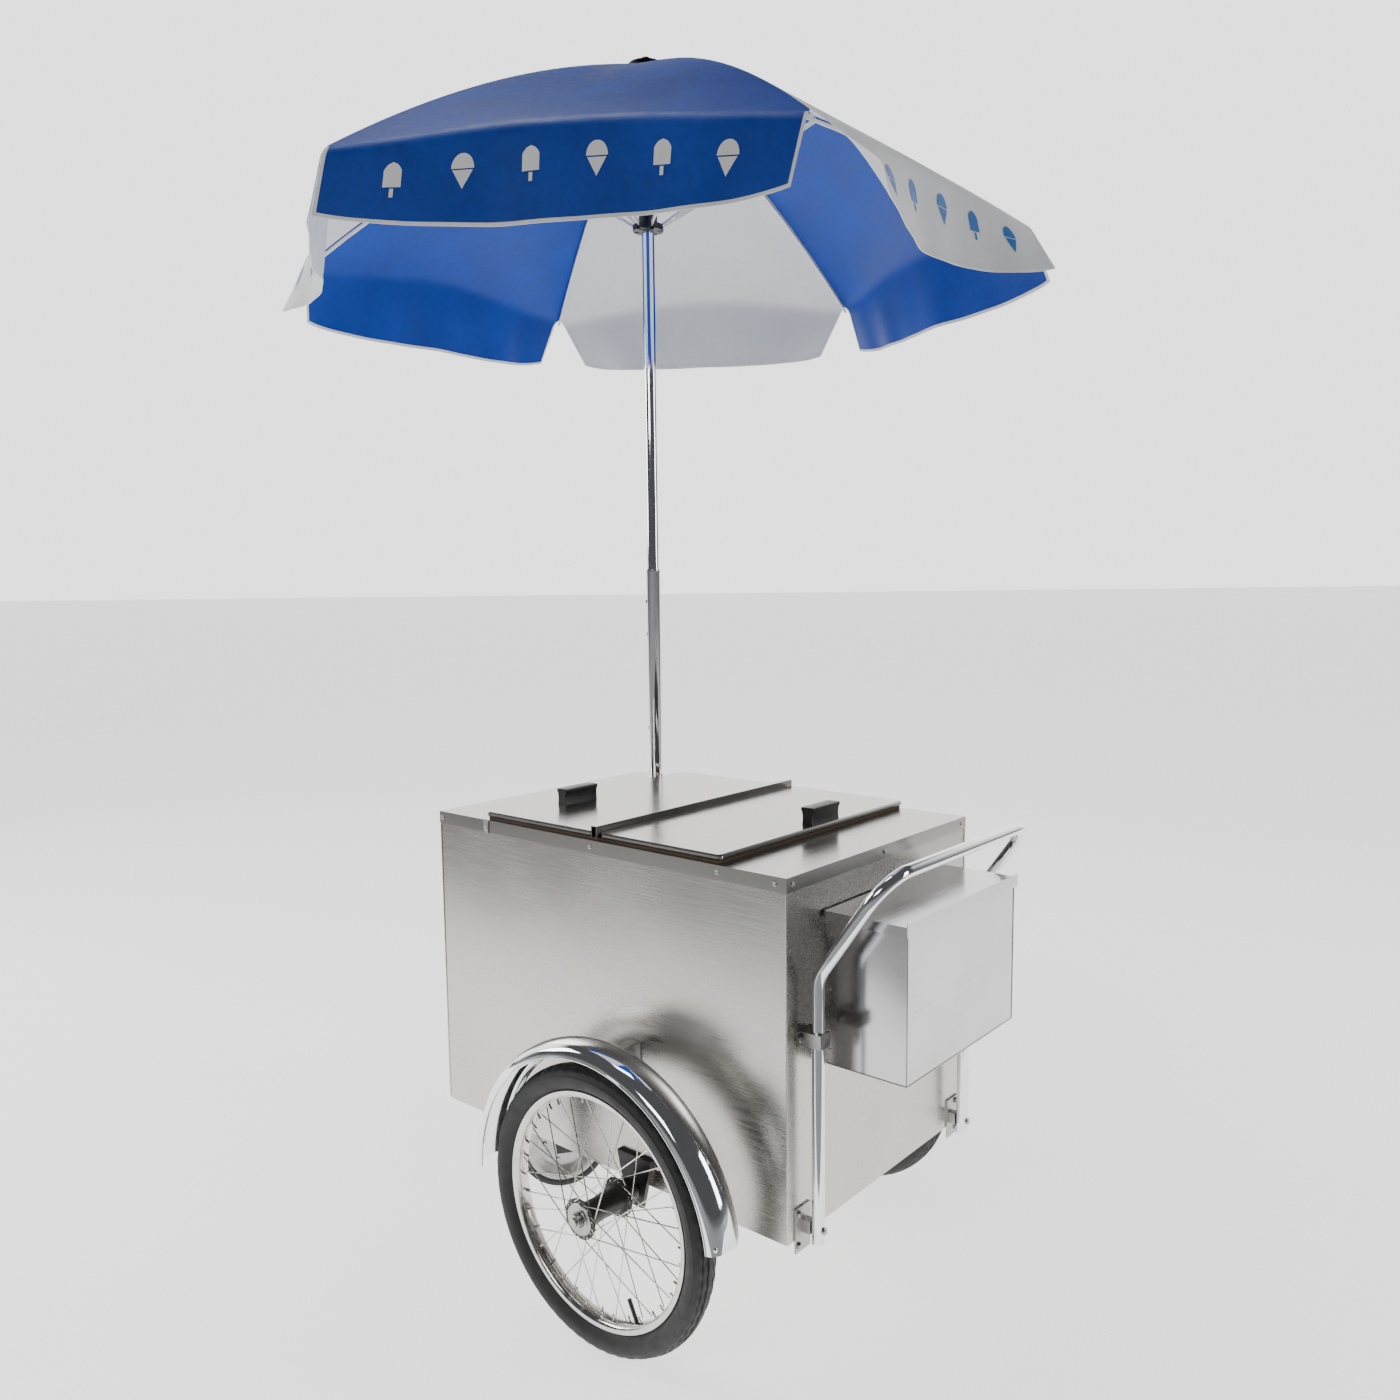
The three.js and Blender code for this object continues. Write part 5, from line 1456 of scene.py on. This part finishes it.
@dataclass
class Studio:
    """The pale floor, the white paper behind the cart, the lamps, the surround and the camera."""

    lens: float = 30.07
    eye: Point = (1.5072, -1.7668, 1.3664)
    yaw: float = 0.7021
    pitch: float = 0.1078
    roll: float = -0.011
    paper_near: float = 1.2
    paper_far: float = 80.0
    paper_near_half: float = 1.7
    paper_far_half: float = 78.0
    floor_half: float = 45.0
    dim: float = 0.09
    bright: float = 2.3
    ahead_band: tuple[float, float] = (0.2, 0.62)
    low_band: tuple[float, float] = (0.6, 0.44)
    glow: float = 1.35
    floor_level: float = -0.004

    def camera(self) -> None:
        """Places the camera from the middle of the cabinet's deck."""
        data = bpy.data.cameras.new("camera")
        data.lens = self.lens
        data.sensor_width = 36.0
        held = bpy.data.objects.new("camera", data)
        bpy.context.scene.collection.objects.link(held)
        deck = middle("top_deck")
        held.location = Vector((deck.x, deck.y, 0.0)) + Vector(self.eye)
        ahead = Vector((
            -math.sin(self.yaw) * math.cos(self.pitch),
            math.cos(self.yaw) * math.cos(self.pitch),
            -math.sin(self.pitch),
        ))
        level = Vector((math.cos(self.yaw), math.sin(self.yaw), 0.0))
        upward = level.cross(ahead).normalized()
        right = level * math.cos(self.roll) + upward * math.sin(self.roll)
        upward = right.cross(ahead).normalized()
        held.matrix_world = Matrix((
            (right.x, upward.x, -ahead.x, held.location.x),
            (right.y, upward.y, -ahead.y, held.location.y),
            (right.z, upward.z, -ahead.z, held.location.z),
            (0.0, 0.0, 0.0, 1.0),
        ))
        bpy.context.scene.camera = held

    def floor(self) -> None:
        """A plain pale floor, with a white paper that runs back from the camera's foreground."""
        half, level = self.floor_half, self.floor_level
        corners = [(-half, -half, level), (half, -half, level), (half, half, level), (-half, half, level)]
        pale = Finish("pale_floor", (0.42, 0.42, 0.42), 0.9, 0.0, Grain.NONE, 0.01, 0.02, 0.01, 1.0)
        build("floor", corners, [(0, 1, 2, 3)], pale, smooth=False)
        deck = middle("top_deck")
        foot = Vector((deck.x + self.eye[0], deck.y + self.eye[1], 0.0))
        ahead = Vector((-math.sin(self.yaw), math.cos(self.yaw), 0.0))
        aside = Vector((ahead.y, -ahead.x, 0.0))
        near, far = foot + ahead * self.paper_near, foot + ahead * self.paper_far
        white = Finish("white_paper", (0.9, 0.9, 0.9), 0.9, 0.0, Grain.NONE, 0.005, 0.02, 0.01, 1.0)
        paper = build("paper", [near - aside * self.paper_near_half, near + aside * self.paper_near_half,
                                far + aside * self.paper_far_half, far - aside * self.paper_far_half],
                      [(0, 1, 2, 3)], white, smooth=False)
        shader = white.material().node_tree.nodes["Principled BSDF"]
        shader.inputs["Emission Color"].default_value = (1.0, 1.0, 1.0, 1.0)
        shader.inputs["Emission Strength"].default_value = self.glow

    def lamp(self, name: str, place: Point, aim: Point, size: tuple[float, float],
             power: float) -> None:
        """One soft rectangular lamp."""
        data = bpy.data.lights.new(name, "AREA")
        data.shape = "RECTANGLE"
        data.size, data.size_y = size
        data.energy = power
        held = bpy.data.objects.new(name, data)
        bpy.context.scene.collection.objects.link(held)
        held.location = place
        held.rotation_euler = (Vector(aim) - Vector(place)).to_track_quat("-Z", "Y").to_euler()

    def sky(self) -> None:
        """A surround that is white behind the cart and dim elsewhere, so that bright metal has contrast."""
        world = bpy.data.worlds.new("studio")
        bpy.context.scene.world = world
        world.use_nodes = True
        tree = world.node_tree
        back = tree.nodes["Background"]
        place = tree.nodes.new("ShaderNodeTexCoord")
        toward = tree.nodes.new("ShaderNodeVectorMath")
        toward.operation = "DOT_PRODUCT"
        toward.inputs[1].default_value = (-math.sin(self.yaw), math.cos(self.yaw), 0.0)
        rise = tree.nodes.new("ShaderNodeSeparateXYZ")
        tree.links.new(place.outputs["Generated"], toward.inputs[0])
        tree.links.new(place.outputs["Generated"], rise.inputs["Vector"])
        ahead = self.ease(tree, toward.outputs["Value"], *self.ahead_band)
        low = self.ease(tree, rise.outputs["Z"], *self.low_band)
        both = tree.nodes.new("ShaderNodeMath")
        both.operation = "MULTIPLY"
        tree.links.new(ahead, both.inputs[0])
        tree.links.new(low, both.inputs[1])
        mix = tree.nodes.new("ShaderNodeMix")
        mix.data_type = "RGBA"
        mix.inputs["A"].default_value = (self.dim, self.dim, self.dim * 1.04, 1.0)
        mix.inputs["B"].default_value = (self.bright, self.bright, self.bright, 1.0)
        tree.links.new(both.outputs[0], mix.inputs["Factor"])
        tree.links.new(mix.outputs["Result"], back.inputs["Color"])

    def ease(self, tree: Tree, value: Socket, low: float,
             high: float) -> Socket:
        """A soft step from 0 at low to 1 at high.

        Returns:
            The step's socket.
        """
        step = tree.nodes.new("ShaderNodeMapRange")
        step.interpolation_type = "SMOOTHSTEP"
        step.inputs["From Min"].default_value = low
        step.inputs["From Max"].default_value = high
        tree.links.new(value, step.inputs["Value"])
        return step.outputs["Result"]

    def make(self) -> None:
        """Sets up the studio."""
        self.camera()
        self.floor()
        self.sky()
        self.lamp("key", (-3.9, -2.5, 2.6), (0.0, 0.0, 0.9), (1.4, 2.2), 90.0)
        self.lamp("side", (4.2, 1.6, 1.7), (0.2, 0.0, 0.7), (0.9, 2.4), 60.0)
        self.lamp("front", (0.9, -4.6, 2.9), (0.1, 0.0, 1.2), (2.0, 1.4), 60.0)
        self.lamp("top", (-0.9, -0.6, 5.4), (0.0, 0.0, 1.0), (1.8, 1.4), 60.0)


def main() -> None:
    """Builds every sub-assembly in order, then the studio."""
    logging.basicConfig(level=logging.INFO, format="%(name)s: %(message)s")
    Studio().make()
    Cabinet().make()
    PushHandle().make()
    UtilityBox().make()
    Caster().make()
    for side in Side:
        Wheel(side).make()
    Mast().make()
    Umbrella().make()


if __name__ == "__main__":
    main()
